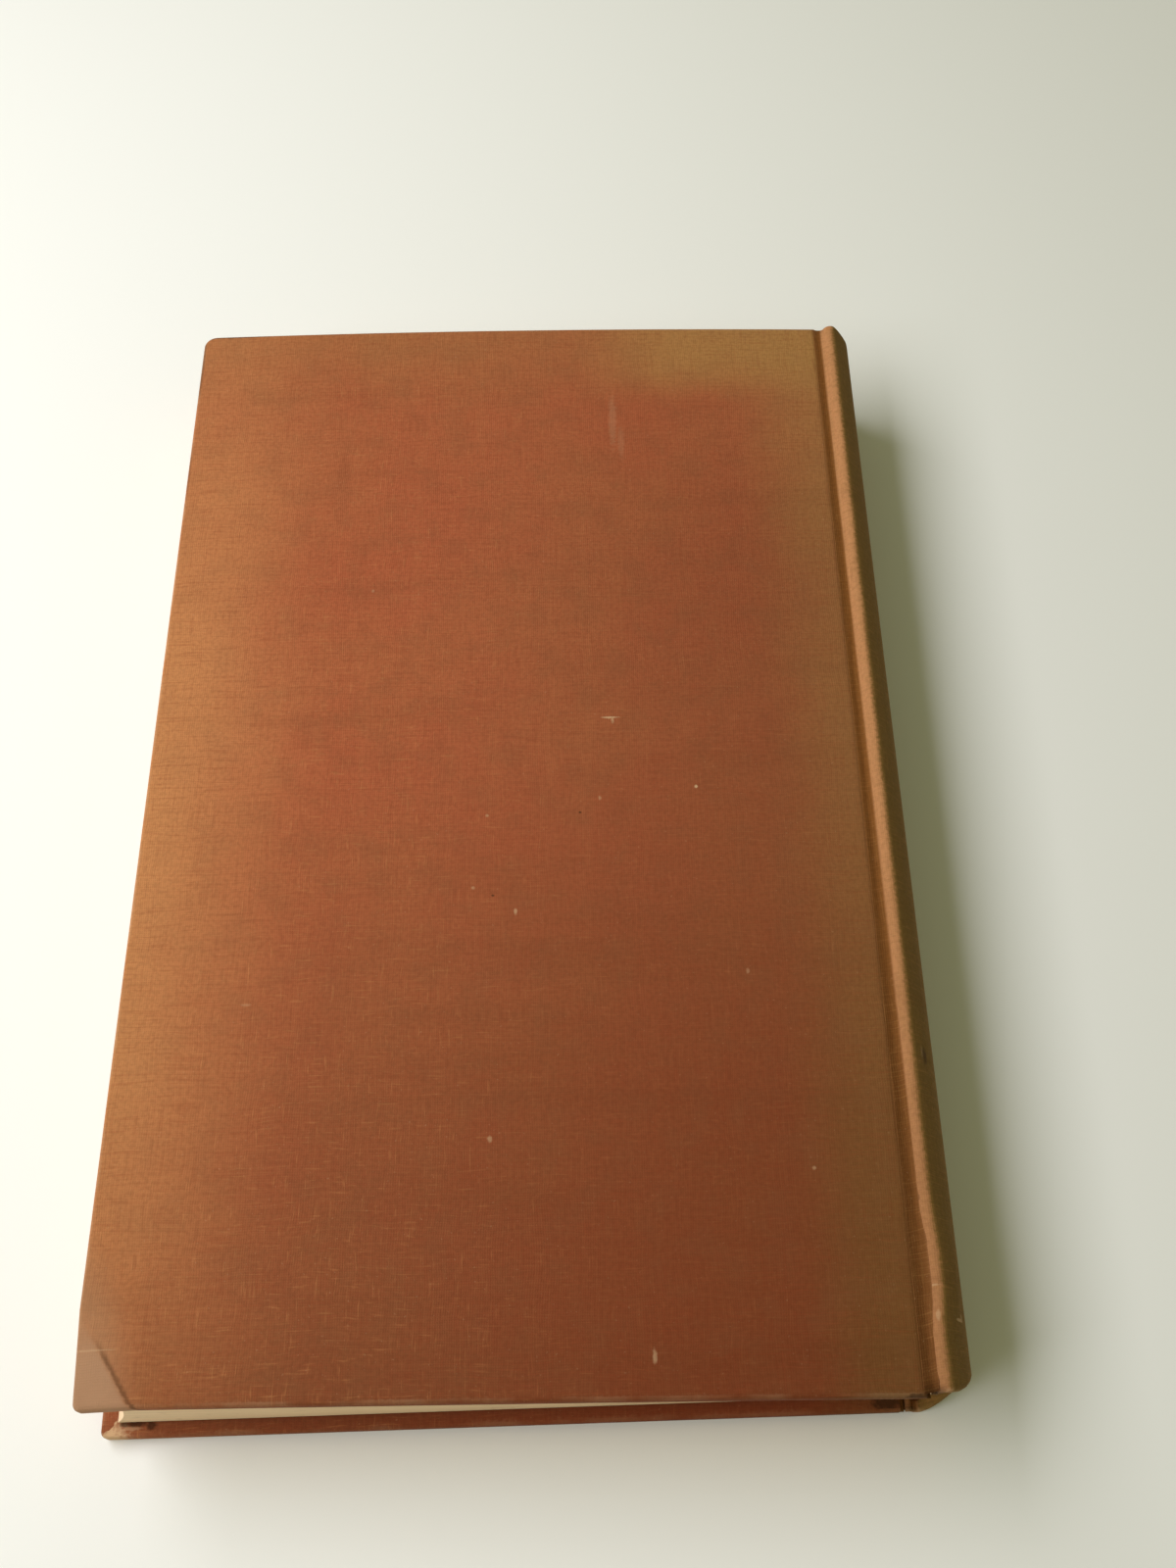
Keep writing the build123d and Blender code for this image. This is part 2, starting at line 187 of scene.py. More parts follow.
def new_material(name, roughness, specular):
    """A node material with its shader and output, to which colour and bump are added."""
    material = bpy.data.materials.new(name)
    material.use_nodes = True
    tree = material.node_tree
    tree.nodes.clear()
    shader = add_node(tree, "BsdfPrincipled", {"Roughness": roughness, "Specular IOR Level": specular})
    add_node(tree, "OutputMaterial", {0: shader})
    return material, tree, shader


def finish_surface(tree, shader, colour, height, depth_mm, strength):
    """Joins a colour and a relief of real depth to the shader."""
    bump = add_node(tree, "Bump", {"Height": height, "Distance": depth_mm * MM, "Strength": strength})
    tree.links.new(next(o for o in colour.outputs if o.enabled), shader.inputs["Base Color"])
    tree.links.new(bump.outputs[0], shader.inputs["Normal"])


def patterns(tree, place, rows, first=0.0):
    """Irregular patterns by name, from their scale along X, Y and Z per millimetre, detail and seed.

    The seeds count from the first one.
    """
    made = {}
    for name, (stretch, detail, seed) in rows.items():
        placed = add_node(tree, "Mapping", {0: place, 1: (0, 0, first + seed), 3: stretch})
        made[name] = add_node(tree, "TexNoise", {"Vector": placed, "Scale": 1.0, "Detail": detail})
    return made


def shares(tree, rows):
    """Soft steps by name: what it follows, where it starts and ends, and the share at each of the two.

    Where the last share is the name of an earlier step, the new step narrows that one.
    """
    made = {}
    for name, (follows, start, end, first, last) in rows.items():
        inputs = {0: follows, 1: start, 2: end, 3: first, 4: made[last] if isinstance(last, str) else last}
        made[name] = add_node(tree, "MapRange", inputs, interpolation_type="SMOOTHSTEP")
    return made


def socket_colour(colour):
    """RGBA from an sRGB hex value or a colour of the settings. A node is left as it is."""
    if isinstance(colour, str):
        return linear(colour)
    return colour if isinstance(colour, bpy.types.Node) else tuple(colour)[:3] + (1.0,)


def layered(tree, base, layers):
    """Lays colours over a base in turn, each by its share."""
    base = socket_colour(base)
    for share, colour in layers:
        base = add_node(tree, "Mix", {0: share, 6: base, 7: socket_colour(colour)}, data_type="RGBA")
    return base


def seen_share(tree):
    """1 where the eye sees a surface itself or in a mirror, 0 where the surface only sheds light."""
    path = add_node(tree, "LightPath").outputs
    seen = add_node(tree, "Math", {0: path["Is Camera Ray"], 1: path["Is Glossy Ray"]}, operation="MAXIMUM")
    return add_node(tree, "Math", {0: seen, 1: path["Is Transmission Ray"]}, operation="MAXIMUM")


def spots(tree, place, rim, marks):
    """One share for many small ragged ovals, each with its place, half sizes and strength.

    A mark is whole inside 0.6 of its half sizes and gone at 1.3 of them.
    """
    total = 0.0
    for mark_u, mark_v, half_u, half_v, strength in marks:
        offset = add_node(tree, "VectorMath", {0: place, 1: (mark_u, mark_v, 0)}, operation="SUBTRACT")
        scaled = add_node(tree, "VectorMath", {0: offset, 1: (half_u, half_v, 1)}, operation="DIVIDE")
        reach = add_node(tree, "VectorMath", {0: scaled}, operation="LENGTH").outputs["Value"]
        ragged = add_node(tree, "Math", {0: reach, 1: rim}, operation="ADD")
        inside = add_node(tree, "MapRange", {0: ragged, 1: 1.3, 2: 0.6, 3: 0.0, 4: strength})
        total = add_node(tree, "Math", {0: total, 1: inside}, operation="MAXIMUM")
    return total


def thread_waves(tree, place, pitch):
    """Sine waves that rise or fall over each thread, and the same without sign, as round threads."""
    turned = add_node(tree, "VectorMath", {0: place, 3: math.pi / pitch}, operation="SCALE")
    wave = add_node(tree, "VectorMath", {0: turned}, operation="SINE")
    return wave, add_node(tree, "VectorMath", {0: wave}, operation="ABSOLUTE")


def weave(tree, place, pitch):
    """Relief of a plain weave: round threads that pass over and under each other.

    Under its neighbour a thread lies at 0.45 of its full height.
    """
    waves = thread_waves(tree, place, pitch)
    wave_axes, round_axes = (add_node(tree, "SeparateXYZ", {0: node}).outputs for node in waves)
    crossing = add_node(tree, "Math", {0: wave_axes[0], 1: wave_axes[1]}, operation="MULTIPLY")
    lifts = shares(tree, {
        "warp": (crossing, -0.25, 0.25, 0.45, 1.0), "weft": (crossing, -0.25, 0.25, 1.0, 0.45)})
    warp = add_node(tree, "Math", {0: round_axes[0], 1: lifts["warp"]}, operation="MULTIPLY")
    weft = add_node(tree, "Math", {0: round_axes[1], 1: lifts["weft"]}, operation="MULTIPLY")
    return add_node(tree, "Math", {0: warp, 1: weft}, operation="MAXIMUM")


# Marks in millimetres on the flat cloth, from the spine edge and the tail: place, half sizes, strength.
# Each kind of cloth has its pale flecks and scratches, and then its dark stains and holes.
CLOTH_MARKS = {
    "back": ([
        (-47.3, 122.9, 1.5, 0.22, 0.75), (-46.8, 122.4, 0.3, 0.7, 0.5), (-31.5, 107.8, 0.34, 0.36, 0.95),
        (-70.4, 102.2, 0.32, 0.28, 0.4), (-49.5, 105.6, 0.28, 0.4, 0.35), (-65.0, 82.8, 0.3, 0.6, 0.55),
        (-72.7, 87.6, 0.3, 0.3, 0.4), (-45.3, 195.9, 0.8, 6.5, 0.14), (-43.6, 190.0, 0.7, 4.0, 0.10),
        (-42.5, 6.4, 0.35, 1.2, 0.45), (-69.0, 41.5, 0.4, 0.5, 0.4), (-15.0, 36.0, 0.3, 0.3, 0.4),
        (-131.6, 8.8, 3.4, 0.13, 0.35), (-94.0, 153.0, 0.3, 0.4, 0.3), (-112.0, 66.0, 0.8, 0.25, 0.25),
        (-24.0, 71.0, 0.3, 0.5, 0.3),
    ], [
        (-53.2, 102.6, 0.28, 0.22, 0.9), (-69.1, 86.0, 0.26, 0.22, 0.7), (-134.9, 184.0, 0.7, 7.0, 0.35),
        (-101.5, 183.0, 1.5, 4.0, 0.12), (-128.0, 222.3, 8.0, 0.9, 0.6), (-134.9, 213.0, 0.8, 9.0, 0.45),
        (-1.6, -0.6, 1.6, 0.7, 0.7),
    ]),
    "front": ([
        (-133.4, -1.8, 3.4, 4.2, 0.95), (-129.4, -4.3, 1.6, 0.35, 0.4),
    ], [
        (-128.6, -5.1, 1.9, 0.5, 0.8), (-126.0, -4.7, 0.9, 0.7, 0.75), (-130.6, -5.0, 0.8, 0.4, 0.7),
        (-2.2, -4.2, 2.6, 1.2, 0.8),
    ]),
    "spine": ([
        (9.0, 11.2, 1.5, 0.25, 0.7), (9.9, 11.6, 0.5, 0.6, 0.5), (6.5, 55.5, 0.4, 1.0, 0.3),
        (3.2, 11.6, 0.4, 0.8, 0.4), (2.6, 16.3, 0.9, 0.2, 0.4), (14.0, 140.0, 0.8, 0.3, 0.3),
        (22.0, 70.0, 0.3, 1.4, 0.3),
    ], [
        (7.2, 55.0, 0.8, 1.6, 0.6), (19.0, 176.0, 1.6, 0.7, 0.3), (1.6, -0.3, 1.4, 1.0, 0.6),
    ]),
    "joint": ([], []),
}
# Dark holes and stains, and also the painted shadow along the crease of the broken corner.
HOLE_AND_CREASE_SHADOW = "#35200f"
CLOTH_SEEDS = {"back": 0.0, "front": 40.0, "spine": 80.0, "joint": 120.0}


def cloth_places(tree):
    """Place on the flat cloth in millimetres, the same with drifting threads, and its two axes."""
    flat = add_node(tree, "UVMap", uv_map="cloth")
    place = add_node(tree, "VectorMath", {0: flat, 3: 1 / MM}, operation="SCALE")
    drift = add_node(tree, "TexNoise", {"Vector": place, "Scale": 0.07, "Detail": 2.0}).outputs["Color"]
    drifted = add_node(tree, "VectorMath", {0: drift, 1: (1.6, 1.6, 0), 2: place}, operation="MULTIPLY_ADD")
    axes = add_node(tree, "SeparateXYZ", {0: place})
    return place, drifted, axes.outputs[0], axes.outputs[1]


def cloth_steps(tree, place, drifted, u, height, pitch, seed):
    """Shares of the threads, slubs, lint and dirt of the cloth, and two patterns that fray its fades."""
    thread = 0.5 / pitch
    tones = patterns(tree, drifted, {
        "warp": ((2.0 * thread, 0.12, 1), 1.0, 3), "weft": ((0.12, 2.0 * thread, 1), 1.0, 7),
        "warp_slub": ((2.4, 0.24, 1), 1.0, 9), "weft_slub": ((0.24, 2.4, 1), 1.0, 13),
        "lint": ((1.9, 1.9, 1), 1.0, 15), "grain": ((1.3, 1.3, 1), 2.0, 19),
    }, seed)
    ages = patterns(tree, place, {
        "bands": ((0.010, 0.10, 1), 3.0, 17), "clouds": ((0.03, 0.024, 1), 3.0, 23),
        "streaks": ((0.30, 0.012, 1), 2.0, 29), "mottle": ((0.16, 0.16, 1), 3.0, 31),
        "ragged": ((0.045, 0.03, 1), 3.0, 37), "rim": ((1.4, 1.4, 1), 3.0, 41),
        "patches": ((0.09, 0.09, 1), 3.0, 43),
    }, seed)
    steps = shares(tree, {
        "warp": (tones["warp"], 0.30, 0.70, 0.0, 0.06), "weft": (tones["weft"], 0.30, 0.70, 0.0, 0.055),
        "slubs": (u, -35.0, -105.0, 0.09, 0.25), "warp_slub": (tones["warp_slub"], 0.60, 0.78, 0.0, "slubs"),
        "weft_slub": (tones["weft_slub"], 0.59, 0.77, 0.0, "slubs"), "gaps": (height, 0.7, 0.2, 0.0, 0.14),
        "lint": (tones["lint"], 0.68, 0.78, 0.0, 0.16), "grain": (tones["grain"], 0.40, 0.65, 0.0, 0.15),
        "bands": (ages["bands"], 0.50, 0.74, 0.0, 0.12), "clouds": (ages["clouds"], 0.36, 0.66, 0.0, 0.14),
        "streaks": (ages["streaks"], 0.52, 0.75, 0.0, 0.06), "mottle": (ages["mottle"], 0.42, 0.70, 0.0, 0.10),
        "patches": (ages["patches"], 0.42, 0.60, 0.0, 1.0),
        "deep_warp": (tones["warp"], 0.50, 0.28, 0.0, 0.20),
        "deep_weft": (tones["weft"], 0.50, 0.28, 0.0, 0.30),
    })
    return steps, ages["ragged"], ages["rim"]


def back_and_groove_colour(tree, kind, u, v, fray, steps, colours):
    """Colour of the cloth round the back or in a groove, and how far its edge is rubbed.

    The back has browned, and painted shade darkens it further, as it faces away from the window; its ridges
    are tan. Painted shade darkens the grooves and reaches further towards the ridge near the tail.
    """
    low_edge = add_node(tree, "Math", {0: v, 1: fray}, operation="ADD")
    other_end = add_node(tree, "Math", {0: CLOTH_ROUND_BACK, 1: u}, operation="SUBTRACT")
    groove = add_node(tree, "Math", {0: u, 1: other_end}, operation="MINIMUM")
    around = add_node(tree, "Math", {0: groove, 1: fray}, operation="ADD")
    widening = add_node(tree, "Math", {0: v, 1: 1.0 / COVER_HEIGHT, 2: -1.15}, operation="MULTIPLY_ADD")
    groove_shade_side = add_node(tree, "Math", {0: u, 1: widening}, operation="ADD")
    # Painted shade in the grooves: at the spine cloth's groove floors and on the joint cloth's side by the
    # cover.
    if kind == "spine":
        worn, valley = 0.38, (groove, 2.3, 1.6, 0.0, 0.50)
    else:
        worn, valley = 0.55, (groove_shade_side, -0.45, -1.0, 0.0, "deepest")
    # worn darkens the cloth towards the tail.
    fades = shares(tree, {
        "end": (low_edge, 0.9, -0.2, 0.0, 0.4), "worn": (v, 120.0, 0.0, 0.06, worn),
        "deepest": (u, -2.1, -1.2, 0.80, 0.90), "valley": valley,
        "near": (groove, 4.2, 2.5, 0.0, 0.75), "foot": (v, 1.8, 0.2, 0.0, "near"),
        "back": (around, 3.5, 4.6, 0.0, 1.0),
    })
    # The toned back is partly browning and partly painted shade; #78460c is painted shade in the grooves.
    colour = layered(tree, colours.tan, [
        (steps["clouds"], colours.ochre), (0.20, colours.bare), (fades["valley"], "#78460c"),
        (fades["worn"], colours.grime_and_shade), (fades["foot"], colours.grime_and_shade), (fades["back"], colours.toned),
        (steps["bands"], colours.grime_and_shade),
    ])
    return colour, fades["end"] if kind == "spine" else 0.0


def cover_colour(tree, kind, u, v, fray, ragged, steps, colours):
    """Colour of a cover's cloth, how far its arrises are rubbed, and two layers that go over the threads.

    The dye has kept in the middle and towards the tail. It has faded to tan at the fore-edge and to ochre
    at the joint and the head. The cloth darkens towards the tail and the spine side. Painted shade darkens
    the arris at the joint, the inner half of the edges and the turn-ins.
    """
    shift = add_node(tree, "Math", {0: ragged, 1: 14.0, 2: -7.0}, operation="MULTIPLY_ADD")
    fore = add_node(tree, "Math", {0: u, 1: shift}, operation="ADD")
    head = add_node(tree, "Math", {0: v, 1: shift}, operation="SUBTRACT")
    fore_edge = add_node(tree, "Math", {0: u, 1: COVER_WIDTH}, operation="ADD")
    head_edge = add_node(tree, "Math", {0: COVER_HEIGHT, 1: v}, operation="SUBTRACT")
    nearest = fore_edge
    for other, operation in ((v, "MINIMUM"), (head_edge, "MINIMUM"), (fray, "ADD")):
        nearest = add_node(tree, "Math", {0: nearest, 1: other}, operation=operation)
    fades = shares(tree, {
        "low": (v, 0.0, 60.0, 0.55, 1.0), "ends": (v, 215.0, 120.0, 0.42, "low"),
        "fore": (fore, -COVER_WIDTH + 36.0, -COVER_WIDTH - 4.0, 0.0, "ends"),
        "head": (head, COVER_HEIGHT - 26.0, COVER_HEIGHT + 3.0, 0.0, 0.45),
        "joint": (fore, -21.0, 0.5, 0.0, 0.85), "far": (u, -56.0, -26.0, 0.0, 0.75),
        "patch": (head, COVER_HEIGHT - 23.0, COVER_HEIGHT - 9.0, 0.0, "far"),
        "dusk": (v, 186.0, COVER_HEIGHT, 0.0, 0.06),
        # dusty and right darken the cloth towards the spine side below the head; the steps to foot darken it
        # towards the tail.
        "dusty": (v, COVER_HEIGHT, 150.0, 0.0, 0.34), "right": (u, -95.0, -8.0, 0.0, "dusty"),
        "tail_darkening_across": (u, -130.0, -90.0, 0.18, 0.50), "tail": (v, 130.0, 0.0, 0.0, "tail_darkening_across"),
        # lip: painted shade on the arris that rounds down into the groove at the joint.
        "foot": (v, 16.0, 0.0, 0.0, 0.22), "lip": (u, -1.6, 0.4, 0.0, 0.3),
        "kept": (v, 140.0, 0.0, 0.0, 0.26), "olive": (u, -20.0, -5.0, 0.0, "kept"),
        "inner_kept": (u, -5.0, -20.0, 0.0, "kept"), "fresh": (u, -108.0, -30.0, 0.0, "inner_kept"),
        "arris_in": (nearest, 0.9, 0.1, 0.0, 0.20), "arris": (nearest, -1.2, -0.4, 0.0, "arris_in"),
        # under: painted shade on the inner half of the edges and on the turn-ins.
        "under": (nearest, -1.2, -3.0, 0.0, 0.7),
        "inner_in": (nearest, -1.9, -2.5, 0.0, 0.5 if kind == "back" else 0.15),
        "inner": (nearest, -4.0, -3.1, 0.0, "inner_in"),
    })
    tan, ochre, grime_and_shade = colours.tan, colours.ochre, colours.grime_and_shade
    colour = layered(tree, colours.red, [
        (steps["clouds"], ochre), (steps["mottle"], grime_and_shade), (fades["head"], ochre), (fades["joint"], ochre),
        (fades["patch"], "#b2854a"), (fades["fore"], tan), (steps["bands"], grime_and_shade), (steps["streaks"], tan),
        (fades["right"], grime_and_shade), (fades["tail"], grime_and_shade), (fades["foot"], grime_and_shade), (fades["lip"], grime_and_shade),
        # 83402a over the inner edges and turn-ins is painted shade.
        (fades["dusk"], grime_and_shade), (fades["under"], "#83402a"),
    ])
    rub = add_node(tree, "Math", {0: fades["arris"], 1: fades["inner"]}, operation="MAXIMUM")
    rub = add_node(tree, "Math", {0: rub, 1: steps["patches"]}, operation="MULTIPLY")
    return colour, rub, [(fades["fresh"], "#7a2400"), (fades["olive"], "#5c3c00")]


def broken_corner(tree, place, u, v, fray, mottle, colour):
    """Lays the pale rubbed corner, and the painted shadow along the lower part of its crease, over the back
    cover's colour.
    """
    span = math.hypot(CREASE_UP_FORE_EDGE, CREASE_ALONG_TAIL)
    across = (-CREASE_UP_FORE_EDGE / span, -CREASE_ALONG_TAIL / span, 0)
    level = add_node(tree, "VectorMath", {0: place, 1: across}, operation="DOT_PRODUCT").outputs["Value"]
    past = add_node(tree, "Math", {0: level, 1: past_crease(0, 0)}, operation="ADD")
    past = add_node(tree, "Math", {0: fray, 1: 0.4, 2: past}, operation="MULTIPLY_ADD")
    broken = shares(tree, {
        "worn_off": (v, 15.0, 6.0, 0.10, 0.66), "corner": (past, -0.3, 0.9, 0.0, "worn_off"),
        "left": (u, -122.0, -131.0, 0.0, 0.45), "above": (past, -9.0, 0.0, 0.0, "left"),
        # The dark line at the crease is painted shadow, only near the tail.
        "low": (v, 11.5, 7.0, 0.0, 0.5), "crease_shadow_start": (past, -0.9, -0.15, 0.0, "low"),
        "crease_shadow": (past, 0.40, -0.10, 0.0, "crease_shadow_start"),
    })
    return layered(tree, colour, [
        (broken["above"], "#a8825f"), (broken["corner"], "#a98465"), (mottle, "#8a5c3c"),
        (broken["crease_shadow"], HOLE_AND_CREASE_SHADOW),
    ])


def book_cloth(name, settings, colours, kind):
    """Starch-filled plain-weave cotton book cloth, dyed rust and aged.

    It gives the eye a dry, matt surface with fine threads both ways, a few of them thicker and lighter,
    bleached towards fore-edge, head and joint, with dirt between its threads and rubbed arrises. Painted
    shade darkens the grooves, the rounded back together with its browning, the joint arrises, inner edges
    and turn-ins of the covers, and the crease of the broken corner.
    """
    material, tree, shader = new_material(name, 0.85, 0.12)
    place, drifted, u, v = cloth_places(tree)
    pitch = settings.thread_pitch / MM
    height = weave(tree, drifted, pitch)
    steps, ragged, rim = cloth_steps(tree, place, drifted, u, height, pitch, CLOTH_SEEDS[kind])
    fray = add_node(tree, "Math", {0: rim, 1: 1.6, 2: -0.8}, operation="MULTIPLY_ADD")
    tan, grime_and_shade, bare = colours.tan, colours.grime_and_shade, colours.bare
    if kind in ("back", "front"):
        colour, rub, over = cover_colour(tree, kind, u, v, fray, ragged, steps, colours)
        thin = "#96502f"
    else:
        colour, rub = back_and_groove_colour(tree, kind, u, v, fray, steps, colours)
        thin, over = colours.ochre, []
    colour = layered(tree, colour, [
        (steps["deep_warp"], thin), (steps["deep_weft"], thin), (steps["gaps"], grime_and_shade), (steps["warp"], tan),
        (steps["weft"], tan), (steps["warp_slub"], tan), (steps["weft_slub"], tan), (steps["lint"], bare),
        (steps["grain"], grime_and_shade), (rub, bare),
    ] + over)
    if kind == "back":
        colour = broken_corner(tree, place, u, v, fray, steps["mottle"], colour)
    rough_rim = add_node(tree, "Math", {0: rim, 1: 1.4, 2: -0.7}, operation="MULTIPLY_ADD")
    pale_marks, dark_marks = CLOTH_MARKS[kind]
    colour = layered(tree, colour, [
        (spots(tree, place, rough_rim, pale_marks), bare), (spots(tree, place, rough_rim, dark_marks), HOLE_AND_CREASE_SHADOW),
    ])
    slub = add_node(tree, "Math", {0: steps["warp_slub"], 1: steps["weft_slub"]}, operation="ADD")
    rise = add_node(tree, "Math", {0: slub, 1: 2.5, 2: height}, operation="MULTIPLY_ADD")
    finish_surface(tree, shader, colour, rise, 0.06, 0.75)
    return material


def object_millimetres(tree):
    """Place on the piece in millimetres."""
    place = add_node(tree, "TexCoord").outputs["Object"]
    return add_node(tree, "VectorMath", {0: place, 3: 1 / MM}, operation="SCALE")


def page_edges(colours):
    """Trimmed edges of the leaves: cream paper gone brown, with the fine lines of leaves and gatherings.

    A real leaf is 0.1 mm thick; the lines are drawn 0.15 mm apart, so that they show.
    """
    material, tree, shader = new_material("trimmed_leaf_edges", 0.9, 0.2)
    rows = patterns(tree, object_millimetres(tree), {
        "leaves": ((0.02, 0.02, 6.5), 3.0, 5), "gatherings": ((0.01, 0.01, 0.7), 1.0, 9),
        "foxing": ((0.35, 0.35, 0.35), 3.0, 13), "dust": ((0.05, 0.05, 0.05), 2.0, 19),
    })
    steps = shares(tree, {
        "leaves": (rows["leaves"], 0.35, 0.70, 0.0, 0.28),
        "gatherings": (rows["gatherings"], 0.55, 0.75, 0.0, 0.25),
        "foxing": (rows["foxing"], 0.60, 0.80, 0.0, 0.25), "dust": (rows["dust"], 0.35, 0.75, 0.0, 0.14),
    })
    # The base cream is partly painted light for leaf edges in the shade of the covers.
    colour = layered(tree, colours.page, [
        (steps["dust"], "#b39466"), (steps["leaves"], "#8f7650"), (steps["gatherings"], "#a68b62"),
        (steps["foxing"], "#9a7444"),
    ])
    finish_surface(tree, shader, colour, rows["leaves"], 0.08, 0.8)
    return material


def aged_paper(name, tone, spot, spot_share, grain):
    """Uncoated paper or board, toned towards its edges, with soft foxing and a faint fibre grain."""
    material, tree, shader = new_material(name, 0.88, 0.25)
    rows = patterns(tree, object_millimetres(tree), {
        "clouds": ((0.045, 0.045, 0.045), 4.0, 1), "fibres": ((grain, grain / 2, grain), 3.0, 2),
        "foxing": ((0.5, 0.5, 0.5), 2.0, 21),
    })
    steps = shares(tree, {
        "clouds": (rows["clouds"], 0.35, 0.70, 0.0, 0.18), "fibres": (rows["fibres"], 0.50, 0.80, 0.0, 0.14),
        "foxing": (rows["foxing"], 0.64, 0.78, 0.0, spot_share),
    })
    colour = layered(tree, tone, [(steps["clouds"], spot), (steps["foxing"], spot), (steps["fibres"], spot)])
    finish_surface(tree, shader, colour, rows["fibres"], 0.03, 0.5)
    return material


def bookbinders_mull():
    """Open cotton gauze over brown glue: a net of off-white threads 1 mm apart."""
    material, tree, shader = new_material("glued_cotton_mull", 0.8, 0.25)
    waves = thread_waves(tree, object_millimetres(tree), 1.0)
    axes = add_node(tree, "SeparateXYZ", {0: waves[1]})
    net = add_node(tree, "Math", {0: axes.outputs[1], 1: axes.outputs[2]}, operation="MAXIMUM")
    thread = shares(tree, {"thread": (net, 0.80, 0.95, 0.0, 1.0)})["thread"]
    colour = layered(tree, "#8a6a42", [(thread, "#d6c7a6")])
    finish_surface(tree, shader, colour, thread, 0.1, 0.8)
    return material


# Shapes, drawn in millimetres


def bow_height(x, bow):
    """Height of the warped cover above its long edges."""
    if bow == 0:
        return 0
    radius = (COVER_WIDTH ** 2 / 4 + bow ** 2) / (2 * bow)
    half = min(abs(x + COVER_WIDTH / 2), radius)
    return math.sqrt(radius ** 2 - half ** 2) - (radius - bow)


def lean(y):
    """How far the top layers lie towards the spine side at a place along the book."""
    return math.tan(math.radians(TWIST_DEGREES)) * (y - TWIST_CENTRE[1])


def twisted():
    """The turn by which the back cover lies askew over the front cover."""
    centre = Matrix.Translation((TWIST_CENTRE[0], TWIST_CENTRE[1], 0))
    return centre @ Matrix.Rotation(math.radians(-TWIST_DEGREES), 4, "Z") @ centre.inverted()


def share_of_lean(z):
    """The leaves between the covers share the lean evenly."""
    return min(max((z - BLOCK_BOTTOM) / BLOCK_THICKNESS, 0), 1)


def cut(bm, axis, place):
    """Cuts mesh lines into a mesh, across one axis."""
    point, normal = Vector((0, 0, 0)), Vector((0, 0, 0))
    point[axis], normal[axis] = place, 1.0
    geometry = bm.verts[:] + bm.edges[:] + bm.faces[:]
    bmesh.ops.bisect_plane(bm, geom=geometry, plane_co=point, plane_no=normal, dist=1e-5)


def grid_places(low, high, step):
    """Places of mesh lines, closer together near both ends."""
    fine, end_room = [0.5, 1.2, 2.2, 3.6], 4.0
    span = high - low - 2 * end_room
    count = max(int(span / step), 1)
    middle = [low + end_room + span * (i + 0.5) / count for i in range(count)]
    return [low + f for f in fine] + middle + [high - f for f in reversed(fine)]


def border_point(x, y):
    """Nearest point of a cover's outline and the direction outwards from it."""
    at_tail = y < COVER_HEIGHT / 2
    radius = TAIL_CORNER_RADIUS if at_tail else HEAD_CORNER_RADIUS
    near_end, near_fore = y if at_tail else COVER_HEIGHT - y, x + COVER_WIDTH
    if near_fore < radius and near_end < radius:
        centre = Vector((-COVER_WIDTH + radius, radius if at_tail else COVER_HEIGHT - radius))
        out = Vector((x, y)) - centre
        out = out.normalized() if out.length > 1e-6 else Vector((-1, 0))
        return centre + out * radius, out
    if near_fore < near_end:
        return Vector((-COVER_WIDTH, y)), Vector((-1, 0))
    if at_tail:
        return Vector((x, 0)), Vector((0, -1))
    return Vector((x, COVER_HEIGHT)), Vector((0, 1))


def unrolled(point, centre):
    """Place of a point of a cover's cloth on the flat sheet that the cloth was cut from.

    The middle of the point's face tells the outer face, the spine side, the inner face and the edges apart.
    """
    x, y, z = point
    face_x, face_y, face_z = centre
    if face_z > -0.02 and z > -1e-3:
        return x, y
    if face_x > -1e-4:
        return x - z, y
    if face_z < -COVER_DEPTH + 0.02:
        edge, out = border_point(face_x, face_y)
        tangent = Vector((-out.y, out.x))
        slide = (Vector((x, y)) - edge).dot(tangent)
        inset = (edge - Vector((x, y))).dot(out)
        flat = edge + tangent * slide + out * (COVER_DEPTH + inset)
        return flat.x, flat.y
    edge, out = border_point(x, y)
    flat = edge + out * max(-z, 0)
    return flat.x, flat.y


def lay_on_sheet(bm, place_of):
    """Gives each corner of each face its place on the flat cloth."""
    layer = bm.loops.layers.uv.new("cloth")
    for face in bm.faces:
        centre = face.calc_center_median()
        for loop in face.loops:
            u, v = place_of(loop.vert, centre)
            loop[layer].uv = (u * MM, v * MM)


def round_edges(bm, edges, radius, segments):
    """Rounds some edges of a cover."""
    bmesh.ops.bevel(bm, geom=edges, offset=radius, offset_type="OFFSET", segments=segments, profile=0.5,
                    affect="EDGES", material=-1)


def sheet_of_cover():
    """Cloth of one cover as a sheet without thickness, outer face up at height 0, square and flat."""
    bm = bmesh.new()
    bmesh.ops.create_cube(bm, size=1.0)
    bmesh.ops.scale(bm, vec=(COVER_WIDTH, COVER_HEIGHT, COVER_DEPTH), verts=bm.verts)
    bmesh.ops.translate(bm, vec=(-COVER_WIDTH / 2, COVER_HEIGHT / 2, -COVER_DEPTH / 2), verts=bm.verts)
    for radius, end in ((TAIL_CORNER_RADIUS, 0), (HEAD_CORNER_RADIUS, COVER_HEIGHT)):
        upright = [e for e in bm.edges if all(
            v.co.x < -COVER_WIDTH + NEAR and abs(v.co.y - end) < NEAR for v in e.verts)]
        round_edges(bm, upright, radius, 7)
    for face_z, radius, segments in ((0, ARRIS_RADIUS, 4), (-COVER_DEPTH, INNER_ARRIS_RADIUS, 2)):
        rim = [e for e in bm.edges if all(abs(v.co.z - face_z) < NEAR for v in e.verts)
               and not all(v.co.x > -NEAR for v in e.verts)]
        round_edges(bm, rim, radius, segments)
    return bm


